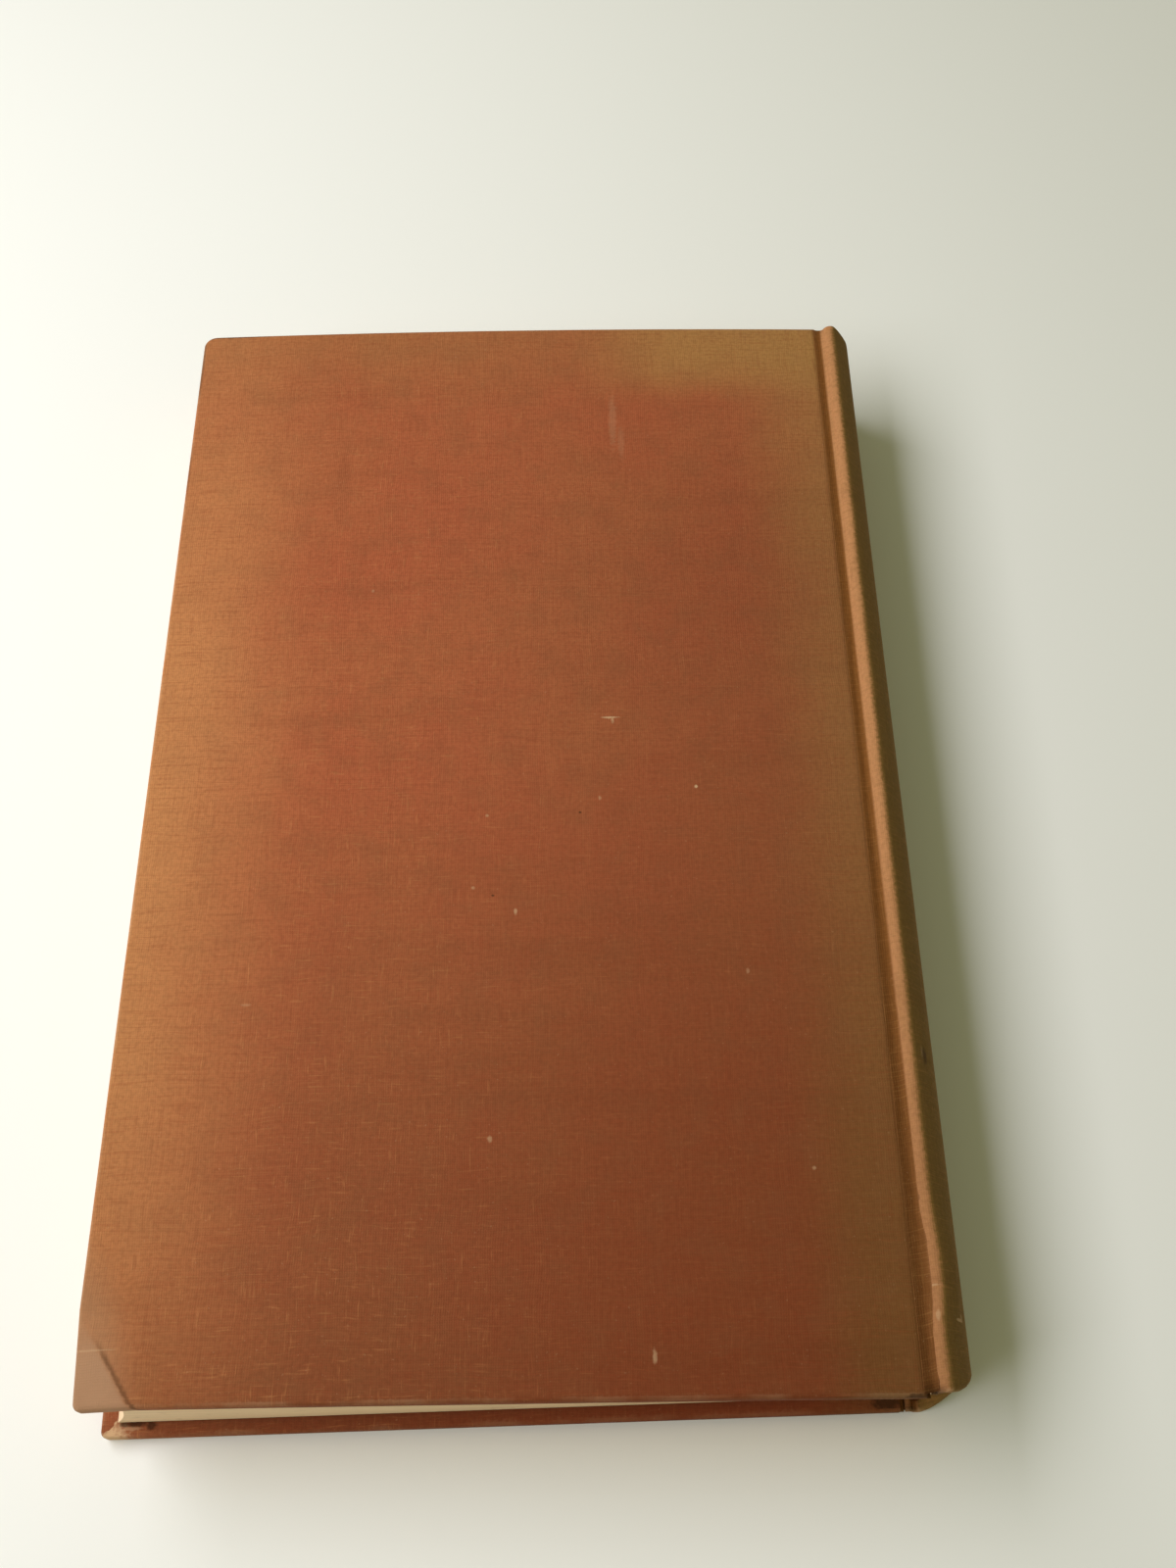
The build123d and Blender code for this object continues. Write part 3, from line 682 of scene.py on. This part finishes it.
def cut_inner_face(bm, place, direction):
    """Cuts a mesh line into the inner face of a cover alone."""
    faces = [f for f in bm.faces if f.calc_center_median().z < -COVER_DEPTH + NEAR]
    parts = set(faces) | {e for f in faces for e in f.edges} | {v for f in faces for v in f.verts}
    bmesh.ops.bisect_plane(bm, geom=list(parts), plane_co=place, plane_no=direction, dist=1e-5)


def open_inner_face(bm):
    """Cuts the turn-ins with their mitres out of the inner face, and opens the spine side under the groove."""
    cut(bm, 0, -COVER_WIDTH + TURN_IN)
    cut(bm, 1, TURN_IN)
    cut(bm, 1, COVER_HEIGHT - TURN_IN)
    cut(bm, 2, -GROOVE_DEPTH)
    keep = CLOTH + HEAD_CORNER_RADIUS
    for inner_y, corner_y, side in ((TURN_IN, keep, 1), (COVER_HEIGHT - TURN_IN, COVER_HEIGHT - keep, -1)):
        normal = Vector((1, -side, 0)).normalized()
        start = Vector((-COVER_WIDTH + TURN_IN, inner_y, 0))
        for shift in (-MITRE_SLIT / 2, MITRE_SLIT / 2):
            cut_inner_face(bm, start + normal * shift, normal)
        cut_inner_face(bm, Vector((-COVER_WIDTH + keep, corner_y, 0)), Vector((1, side, 0)).normalized())
    gone = []
    for face in bm.faces:
        x, y, z = face.calc_center_median()
        if z < -COVER_DEPTH + NEAR:
            inside = x > -COVER_WIDTH + TURN_IN and TURN_IN < y < COVER_HEIGHT - TURN_IN
            from_corner = min(y, COVER_HEIGHT - y)
            on_mitre = abs((x + COVER_WIDTH) - from_corner) < MITRE_SLIT * 0.6
            beyond = (x + COVER_WIDTH) + from_corner > 2 * keep and x < -COVER_WIDTH + TURN_IN
            if inside or (on_mitre and beyond):
                gone.append(face)
        elif x > -NEAR and z < -GROOVE_DEPTH:
            gone.append(face)
    bmesh.ops.delete(bm, geom=gone, context="FACES")
    lip = [e for e in bm.edges if e.is_boundary
           and all(abs(v.co.x) < NEAR and abs(v.co.z + GROOVE_DEPTH) < NEAR for v in e.verts)]
    made = bmesh.ops.extrude_edge_only(bm, edges=lip)
    moved = [v for v in made["geom"] if isinstance(v, bmesh.types.BMVert)]
    bmesh.ops.translate(bm, vec=((GROOVE_WIDTH - GROOVE_SPLIT) / 2, 0, 0), verts=moved)


def past_crease(x, y):
    """Distance of a place on the back cover past the crease of its broken corner."""
    span = math.hypot(CREASE_UP_FORE_EDGE, CREASE_ALONG_TAIL)
    return (-CREASE_UP_FORE_EDGE * (x + COVER_WIDTH) - CREASE_ALONG_TAIL * (y - CREASE_UP_FORE_EDGE)) / span


def as_object(bm, name, material):
    """Turns a mesh drawn in millimetres into a named object in the frame's metres."""
    bmesh.ops.scale(bm, vec=(MM, MM, MM), verts=bm.verts)
    bmesh.ops.translate(bm, vec=TO_FRAME, verts=bm.verts)
    mesh = bpy.data.meshes.new(name)
    bm.to_mesh(mesh)
    bm.free()
    for polygon in mesh.polygons:
        polygon.use_smooth = True
    mesh.materials.append(material)
    piece = bpy.data.objects.new(name, mesh)
    bpy.context.scene.collection.objects.link(piece)
    return piece


def thicken(piece):
    """Gives a sheet the thickness of book cloth, inwards from its outer face."""
    wall = piece.modifiers.new("cloth thickness", "SOLIDIFY")
    wall.thickness = CLOTH * MM
    wall.offset = -1
    wall.use_even_offset = True
    wall.use_quality_normals = True


def cockle(x, y, seed):
    """Uneven height of an old board: wide swells with smaller ones on them."""
    place = Vector((x, y, 0))
    return noise.noise(place / 38 + seed) + 0.4 * noise.noise(place / 13 + seed)


def make_cover_cloth(name, material, settings, is_back):
    """Book cloth of one cover, folded round its board, with the old board's cockling."""
    bm = sheet_of_cover()
    open_inner_face(bm)
    step = settings.mesh_step / MM
    round_joint_arris = [-0.1, -0.25, -0.8]
    for x in grid_places(-COVER_WIDTH, 0, step) + round_joint_arris:
        cut(bm, 0, x)
    for y in grid_places(0, COVER_HEIGHT, step):
        cut(bm, 1, y)
    lay_on_sheet(bm, lambda vert, centre: unrolled(vert.co, centre))
    bow = COVER_BOW if is_back else 0
    wave = settings.waviness / MM
    seed = Vector((3.1, 7.7, 0)) if is_back else Vector((19.0, 4.2, 0))
    edge_kept_flat, swell_in = 1, 14
    for vert in bm.verts:
        x, y, z = vert.co
        edge = min(x + COVER_WIDTH, y, COVER_HEIGHT - y, -x)
        inside = min(max((edge - edge_kept_flat) / swell_in, 0), 1)
        if z > 0.02 - GROOVE_DEPTH:
            past = max(x + JOINT_ARRIS_RADIUS, 0)
            vert.co.z = min(z, math.sqrt(max(JOINT_ARRIS_RADIUS ** 2 - past ** 2, 0)) - JOINT_ARRIS_RADIUS)
        vert.co.z += bow_height(x, bow) + min(cockle(x, y, seed) * wave, 0) * inside
    if not is_back:
        bmesh.ops.scale(bm, vec=(1, 1, -1), verts=bm.verts)
        bmesh.ops.reverse_faces(bm, faces=bm.faces)
        return as_object(bm, name, material)
    slope = math.tan(math.radians(CREASE_DEGREES))
    lip_height, lip_width = 0.12, 0.5
    for vert in bm.verts:
        x, y = vert.co.xy
        past = past_crease(x, y) + 0.5 * noise.noise(Vector((x, y, 0)) / 2.5)
        lip = lip_height * math.exp(-((past + lip_width) / lip_width) ** 2)
        vert.co.z += TOTAL_THICKNESS - slope * max(past, 0) + lip
    bmesh.ops.transform(bm, matrix=twisted(), verts=bm.verts)
    return as_object(bm, name, material)


def arc(bm, vert, centre, degrees, steps):
    """Carries a line on round a centre, clockwise as seen from the tail."""
    bm.verts.ensure_lookup_table()
    made = bmesh.ops.spin(bm, geom=[vert], cent=centre, axis=(0, 1, 0), dvec=(0, 0, 0),
                          angle=math.radians(degrees), steps=steps, use_merge=False,
                          use_normal_flip=False, use_duplicate=False)
    return [v for v in made["geom_last"] if isinstance(v, bmesh.types.BMVert)][0]


def line(bm, vert, place):
    """Carries a line on straight to a place."""
    made = bmesh.ops.extrude_vert_indiv(bm, verts=[vert])
    end = made["verts"][0]
    end.co = place
    return end


def sheet_of_spine():
    """Cloth of the rounded back as one line, from the middle of one groove to the middle of the other."""
    split = (GROOVE_WIDTH + GROOVE_SPLIT) / 2
    back_floor = TOTAL_THICKNESS - GROOVE_DEPTH
    half_turn = math.degrees(ARC_HALF_TURN)
    bm = bmesh.new()
    first = bmesh.ops.create_vert(bm, co=(split, 0, back_floor))["vert"][0]
    end = line(bm, first, (GROOVE_WIDTH, 0, back_floor))
    end = line(bm, end, (GROOVE_WIDTH, 0, BACK_RIDGE_Z))
    end = arc(bm, end, (RIDGE_X, 0, BACK_RIDGE_Z), 180 - half_turn, 12)
    end = arc(bm, end, (ARC_X, 0, ARC_Z), 2 * half_turn, 28)
    end = arc(bm, end, (RIDGE_X, 0, FRONT_RIDGE_Z), 180 - half_turn, 12)
    end = line(bm, end, (GROOVE_WIDTH, 0, GROOVE_DEPTH))
    line(bm, end, (split, 0, GROOVE_DEPTH))
    return bm


def spine_form(x, z):
    """At a place of the back's cross-section: the way outwards, and the share of the way to a ridge."""
    turned = math.atan2(z - ARC_Z, x - ARC_X)
    if abs(turned) <= ARC_HALF_TURN + 1e-4:
        return Vector((math.cos(turned), 0, math.sin(turned))), abs(turned) / ARC_HALF_TURN
    centre_z = BACK_RIDGE_Z if z > ARC_Z else FRONT_RIDGE_Z
    return Vector((x - RIDGE_X, 0, z - centre_z)).normalized(), 1.0


def end_recess(x):
    """How far the rounded head and tail of the spine stand back behind the covers."""
    past = min(max(x - RIDGE_X, 0), SPINE_END_RADIUS - 0.3)
    return SPINE_END_RADIUS - math.sqrt(SPINE_END_RADIUS ** 2 - past ** 2)


def roll_ends(bm, middle):
    """Carries the cloth of the back round the ends of its card and back inside, at head and tail."""
    floors = (GROOVE_DEPTH, TOTAL_THICKNESS - GROOVE_DEPTH)
    turns = [(math.radians(angle), 0) for angle in (45, 90, 135, 180)]
    turns += [(math.pi, share) for share in (0.2, 0.5, 1)]
    for side in (-1, 1):
        edges = [e for e in bm.edges if e.is_boundary and e.calc_length() > 0.05
                 and abs(e.verts[0].co.y - e.verts[1].co.y) < 1
                 and all((v.co.y - middle) * side > COVER_HEIGHT / 4 and v.co.x > GROOVE_WIDTH - NEAR
                         and all(abs(v.co.z - floor) > NEAR for floor in floors) for v in e.verts)]
        rims = {}
        for vert in {v for e in edges for v in e.verts}:
            out, to_ridge = spine_form(vert.co.x, vert.co.z)
            inner = min(max((1 - to_ridge) / 0.5, 0), 1)
            radius = RIDGE_ROLL + (SPINE_ROLL - RIDGE_ROLL) * min(inner * 1.6, 1)
            length = RIDGE_TURN_IN + (SPINE_TURN_IN - RIDGE_TURN_IN) * inner
            rims[vert] = (vert.co.copy(), out, radius, length)
            vert.co.y -= side * radius
        for turn, share in turns:
            made = bmesh.ops.extrude_edge_only(bm, edges=edges)["geom"]
            edges = [g for g in made if isinstance(g, bmesh.types.BMEdge)]
            following = {}
            for vert in (g for g in made if isinstance(g, bmesh.types.BMVert)):
                source = next(e.other_vert(vert) for e in vert.link_edges if e.other_vert(vert) in rims)
                rim, out, radius, length = rims[source]
                vert.co = rim - out * radius * (1 - math.cos(turn))
                vert.co.y = rim.y - side * (radius * (1 - math.sin(turn)) + length * share)
                following[vert] = rims[source]
            rims = following


def lengths_round_back(bm):
    """Length of cloth from the back groove to each point of the line round the back."""
    lengths, total, seen = {}, 0.0, None
    here = next(v for v in bm.verts if len(v.link_edges) == 1 and v.co.z > TOTAL_THICKNESS / 2)
    while True:
        lengths[(round(here.co.x, 3), round(here.co.z, 3))] = total
        ahead = [e for e in here.link_edges if e is not seen]
        if not ahead:
            return lengths
        seen = ahead[0]
        total += seen.calc_length()
        here = seen.other_vert(here)


def make_spine_cloth(material, settings):
    """Cloth of the back with both ridges, lying over towards the head with the leaves."""
    bm = sheet_of_spine()
    lengths = lengths_round_back(bm)
    made = bmesh.ops.extrude_edge_only(bm, edges=bm.edges[:])
    moved = [v for v in made["geom"] if isinstance(v, bmesh.types.BMVert)]
    bmesh.ops.translate(bm, vec=(0, COVER_HEIGHT, 0), verts=moved)
    for y in grid_places(1.2, COVER_HEIGHT - 1.2, settings.mesh_step / MM):
        cut(bm, 1, y)
    widest = max(bm.faces, key=lambda f: f.calc_center_median().x)
    if widest.normal.x < 0:
        bmesh.ops.reverse_faces(bm, faces=bm.faces)
    around = bm.verts.layers.float.new("around")
    for vert in bm.verts:
        x, y, z = vert.co
        vert[around] = lengths[(round(x, 3), round(z, 3))]
        recess = end_recess(x)
        vert.co.y = recess + y * (COVER_HEIGHT - 2 * recess) / COVER_HEIGHT
    roll_ends(bm, COVER_HEIGHT / 2)
    lay_on_sheet(bm, lambda vert, _: (vert[around], vert.co.y))
    crumpled_by = 0.12
    for vert in bm.verts:
        x, y, z = vert.co
        if z > BLOCK_BOTTOM + BLOCK_THICKNESS:
            crumple = noise.noise(Vector((x * 0.4, y / 7, z * 0.4)))
            dent = ridge_dent(y)
            vert.co.z -= dent
            vert.co.x += (crumple * crumpled_by + dent / 2) * min(max(x - GROOVE_WIDTH - 0.2, 0), 1)
            vert.co.x += ridge_push(y)
        vert.co.x += lean(y) * share_of_lean(z)
    return as_object(bm, "spine_book_cloth", material)


def ridge_dent(y):
    """How far the back ridge is knocked down at a place along it."""
    return sum(depth * math.exp(-((y - place) / wide) ** 2) for place, wide, depth in RIDGE_DENTS)


def ridge_push(y):
    """How far the back ridge is pushed away from the cover at a place along it."""
    place, wide, depth = RIDGE_PUSH
    return depth * math.exp(-((y - place) / wide) ** 4)


def flat_strip(low, high, margin, columns, rows):
    """Flat grid along the book between two places across it, which ends a margin short of head and tail."""
    bm = bmesh.new()
    bmesh.ops.create_grid(bm, x_segments=columns, y_segments=rows, size=0.5)
    bmesh.ops.scale(bm, vec=(high - low, COVER_HEIGHT - 2 * margin, 1), verts=bm.verts)
    bmesh.ops.translate(bm, vec=((low + high) / 2, COVER_HEIGHT / 2, 0), verts=bm.verts)
    return bm


def joint_strip(name, material, is_back):
    """Cloth in a groove, a soft valley from board to ridge."""
    low, high = -0.6, GROOVE_WIDTH + 0.45
    cover_height, ridge_height, puckered_by = -0.11, -0.16, 0.25
    down_slope, up_slope = -0.5 * (high - low), 1.1 * (high - low)
    bm = flat_strip(low, high, 0.4, 20, 90)
    lay_on_sheet(bm, lambda vert, _: (vert.co.x - GROOVE_WIDTH, vert.co.y))
    for vert in bm.verts:
        x, y = vert.co.xy
        across = (x - low) / (high - low)
        pucker = noise.noise(Vector((x, y / 9, 5)))
        back = 1 - across
        vert.co.z = (cover_height * (1 + 2 * across) * back ** 2 + down_slope * across * back ** 2
                     + ridge_height * (1 + 2 * back) * across ** 2 - up_slope * back * across ** 2
                     + puckered_by * pucker * across * back)
        if is_back:
            vert.co.y += math.sin(math.radians(TWIST_DEGREES)) * TWIST_CENTRE[0] * back
            vert.co.x += ridge_push(y) * across ** 2
            vert.co.z -= ridge_dent(y) * across ** 2
    bmesh.ops.solidify(bm, geom=bm.faces[:] + bm.edges[:] + bm.verts[:], thickness=CLOTH - 0.1)
    for vert in bm.verts:
        if is_back:
            vert.co.z += TOTAL_THICKNESS
            vert.co.x += lean(vert.co.y)
        else:
            vert.co.z *= -1
    bmesh.ops.recalc_face_normals(bm, faces=bm.faces)
    return as_object(bm, name, material)


def endpaper_hinge(name, material, is_back):
    """Fold of an endpaper, from the flyleaf to the pastedown and tucked into the joint between them."""
    low, high, clearance = -0.6, 1.35, 0.06
    tuck_place, tuck_width, tuck_depth = 0.74, 0.3, 1.1
    bm = flat_strip(low, high, 3.2, 26, 60)
    for vert in bm.verts:
        across = (vert.co.x - low) / (high - low)
        tucked = math.exp(-((vert.co.x - tuck_place) / tuck_width) ** 2)
        vert.co.z = COVER_DEPTH + PAPER + clearance * (1 + across) - tuck_depth * tucked
    bmesh.ops.solidify(bm, geom=bm.faces[:] + bm.edges[:] + bm.verts[:], thickness=PAPER / 4)
    for vert in bm.verts:
        if is_back:
            vert.co.z = TOTAL_THICKNESS - vert.co.z
            vert.co.x += lean(vert.co.y)
    bmesh.ops.recalc_face_normals(bm, faces=bm.faces)
    return as_object(bm, name, material)


def paint_node(node, material):
    """Gives a CAD node its material."""
    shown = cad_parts[node]
    shown.data.materials.clear()
    shown.data.materials.append(material)


# Stage, in metres


def lay_floor(scene):
    """Pale matt table top. Far from the book the eye sees it in the colour of the wall."""
    bm = bmesh.new()
    bmesh.ops.create_grid(bm, x_segments=1, y_segments=1, size=3.0)
    mesh = bpy.data.meshes.new("pale_floor")
    bm.to_mesh(mesh)
    bm.free()
    floor = bpy.data.objects.new("pale_floor", mesh)
    scene.collection.objects.link(floor)
    material, tree, shader = new_material("matt_white_table", 0.7, 0.2)
    shader.inputs["Base Color"].default_value = linear("#f6f5ef")
    surface = shader.outputs[0].links[0].to_socket
    place = add_node(tree, "TexCoord").outputs["Object"]
    away = add_node(tree, "VectorMath", {0: place}, operation="LENGTH").outputs["Value"]
    glow = add_node(tree, "Emission", {"Color": linear(WALL), "Strength": 1.0})
    far = shares(tree, {"far": (away, 0.30, 0.62, 0.0, seen_share(tree))})["far"]
    tree.links.new(add_node(tree, "MixShader", {0: far, 1: shader, 2: glow}).outputs[0], surface)
    mesh.materials.append(material)


def light_room(scene):
    """Soft light of the room from all round, and one long window at the fore-edge side."""
    world = bpy.data.worlds.new("room_light")
    scene.world = world
    world.use_nodes = True
    tree = world.node_tree
    tree.nodes.clear()
    room = add_node(tree, "Background", {"Color": linear("#f9fbc2"), "Strength": 0.235})
    wall = add_node(tree, "Background", {"Color": linear(WALL), "Strength": 1.0})
    add_node(tree, "OutputWorld", {0: add_node(tree, "MixShader", {0: seen_share(tree), 1: room, 2: wall})})

    window = bpy.data.lights.new("window_light", "AREA")
    window.shape = "RECTANGLE"
    window.size, window.size_y = 0.80, 0.30
    window.energy = 4.3
    window.color = linear("#f4f4fb")[:3]
    lamp = bpy.data.objects.new("window_light", window)
    scene.collection.objects.link(lamp)
    lamp.location = (-0.36, 0.03, 0.47)
    lamp.rotation_mode = "QUATERNION"
    lamp.rotation_quaternion = (Vector((0, 0, 0)) - lamp.location).to_track_quat("-Z", "Y")


def place_camera(scene):
    """Camera of the photograph, as fitted to the outline of the book."""
    lens = bpy.data.cameras.new("photograph_camera")
    lens.sensor_fit = "VERTICAL"
    lens.sensor_height = 36.0
    focal_pixels, frame_pixels = 1645, 1600
    lens.lens = focal_pixels * lens.sensor_height / frame_pixels
    lens.clip_start, lens.clip_end = 0.01, 20
    camera = bpy.data.objects.new("photograph_camera", lens)
    scene.collection.objects.link(camera)
    pitch, yaw, roll = (math.radians(a) for a in (27.992, 1.169, 0.736))
    turn = Matrix.Rotation(-yaw, 4, "Z") @ Matrix.Rotation(pitch, 4, "X") @ Matrix.Rotation(-roll, 4, "Z")
    camera.matrix_world = Matrix.Translation((0.00925, -0.14412, 0.29231)) @ turn
    scene.camera = camera


# Operators


class BOOK_OT_cover_cloth(bpy.types.Operator):
    """Folds worn book cloth round both boards"""
    bl_idname = "book.cover_cloth"
    bl_label = "Cover cloth"

    def execute(self, context):
        settings, colours = context.scene.book_covers, context.scene.book_colours
        for side in ("back", "front"):
            material = book_cloth(f"{side}_cover_book_cloth", settings, colours, side)
            piece = make_cover_cloth(f"{side}_cover_book_cloth", material, settings, side == "back")
            thicken(piece)
            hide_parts(f"{side}_cover_cloth")
            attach(piece, f"{side}_cover")
        return {"FINISHED"}


class BOOK_OT_spine_cloth(bpy.types.Operator):
    """Lays the cloth round the rounded back"""
    bl_idname = "book.spine_cloth"
    bl_label = "Spine cloth"

    def execute(self, context):
        settings, colours = context.scene.book_covers, context.scene.book_colours
        piece = make_spine_cloth(book_cloth("spine_book_cloth", settings, colours, "spine"), settings)
        thicken(piece)
        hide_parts("spine_cloth")
        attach(piece, "leaves")
        return {"FINISHED"}


class BOOK_OT_joints(bpy.types.Operator):
    """Closes both grooves with cloth"""
    bl_idname = "book.joints"
    bl_label = "Joint cloth"

    def execute(self, context):
        settings, colours = context.scene.book_covers, context.scene.book_colours
        material = book_cloth("joint_book_cloth", settings, colours, "joint")
        for side in ("back", "front"):
            piece = joint_strip(f"{side}_joint_cloth", material, side == "back")
            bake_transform(piece)
        return {"FINISHED"}


class BOOK_OT_papers(bpy.types.Operator):
    """Gives the leaves, endpapers, boards and spine linings their materials"""
    bl_idname = "book.papers"
    bl_label = "Papers and boards"

    def execute(self, context):
        colours = context.scene.book_colours
        endpaper = aged_paper("laid_endpaper", colours.endpaper, "#a98a58", 0.5, 3.0)
        board = aged_paper("pulp_board", colours.pulp, "#6d5a40", 0.6, 1.5)
        kraft = aged_paper("kraft_paper", "#9a7448", "#6f4f2c", 0.3, 2.0)
        paint_node("text_block", page_edges(colours))
        for node in ("front_flyleaf", "back_flyleaf", "front_pastedown", "back_pastedown"):
            paint_node(node, endpaper)
        for node in ("front_board", "back_board"):
            paint_node(node, board)
        for node in ("spine_lining", "spine_inlay"):
            paint_node(node, kraft)
        paint_node("spine_mull", bookbinders_mull())
        for side in ("back", "front"):
            piece = endpaper_hinge(f"{side}_endpaper_hinge", endpaper, side == "back")
            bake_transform(piece)
        return {"FINISHED"}


class BOOK_OT_stage(bpy.types.Operator):
    """Sets the floor, the soft daylight and the camera of the photograph"""
    bl_idname = "book.stage"
    bl_label = "Stage"

    def execute(self, context):
        scene = context.scene
        lay_floor(scene)
        light_room(scene)
        place_camera(scene)
        scene.view_settings.view_transform = "Standard"
        return {"FINISHED"}


class BOOK_PT_panel(bpy.types.Panel):
    """Lists the steps that dress the book"""
    bl_idname = "BOOK_PT_panel"
    bl_label = "Worn cloth hardback"
    bl_space_type = "VIEW_3D"
    bl_region_type = "UI"
    bl_category = "Book"

    def draw(self, context):
        for step in STEPS:
            self.layout.operator(step.bl_idname)
        for group in (context.scene.book_covers, context.scene.book_colours):
            for name in group.__annotations__:
                self.layout.prop(group, name)


STEPS = (BOOK_OT_stage, BOOK_OT_cover_cloth, BOOK_OT_spine_cloth, BOOK_OT_joints, BOOK_OT_papers)
CLASSES = (BookCoverSettings, BookColours) + STEPS + (BOOK_PT_panel,)


def register():
    for cls in CLASSES:
        bpy.utils.register_class(cls)
    bpy.types.Scene.book_covers = bpy.props.PointerProperty(type=BookCoverSettings)
    bpy.types.Scene.book_colours = bpy.props.PointerProperty(type=BookColours)


def unregister():
    del bpy.types.Scene.book_colours
    del bpy.types.Scene.book_covers
    for cls in reversed(CLASSES):
        bpy.utils.unregister_class(cls)


def main():
    """Dresses the book."""
    register()
    bpy.ops.book.stage()
    bpy.ops.book.cover_cloth()
    bpy.ops.book.spine_cloth()
    bpy.ops.book.joints()
    bpy.ops.book.papers()


if __name__ == "__main__":
    main()
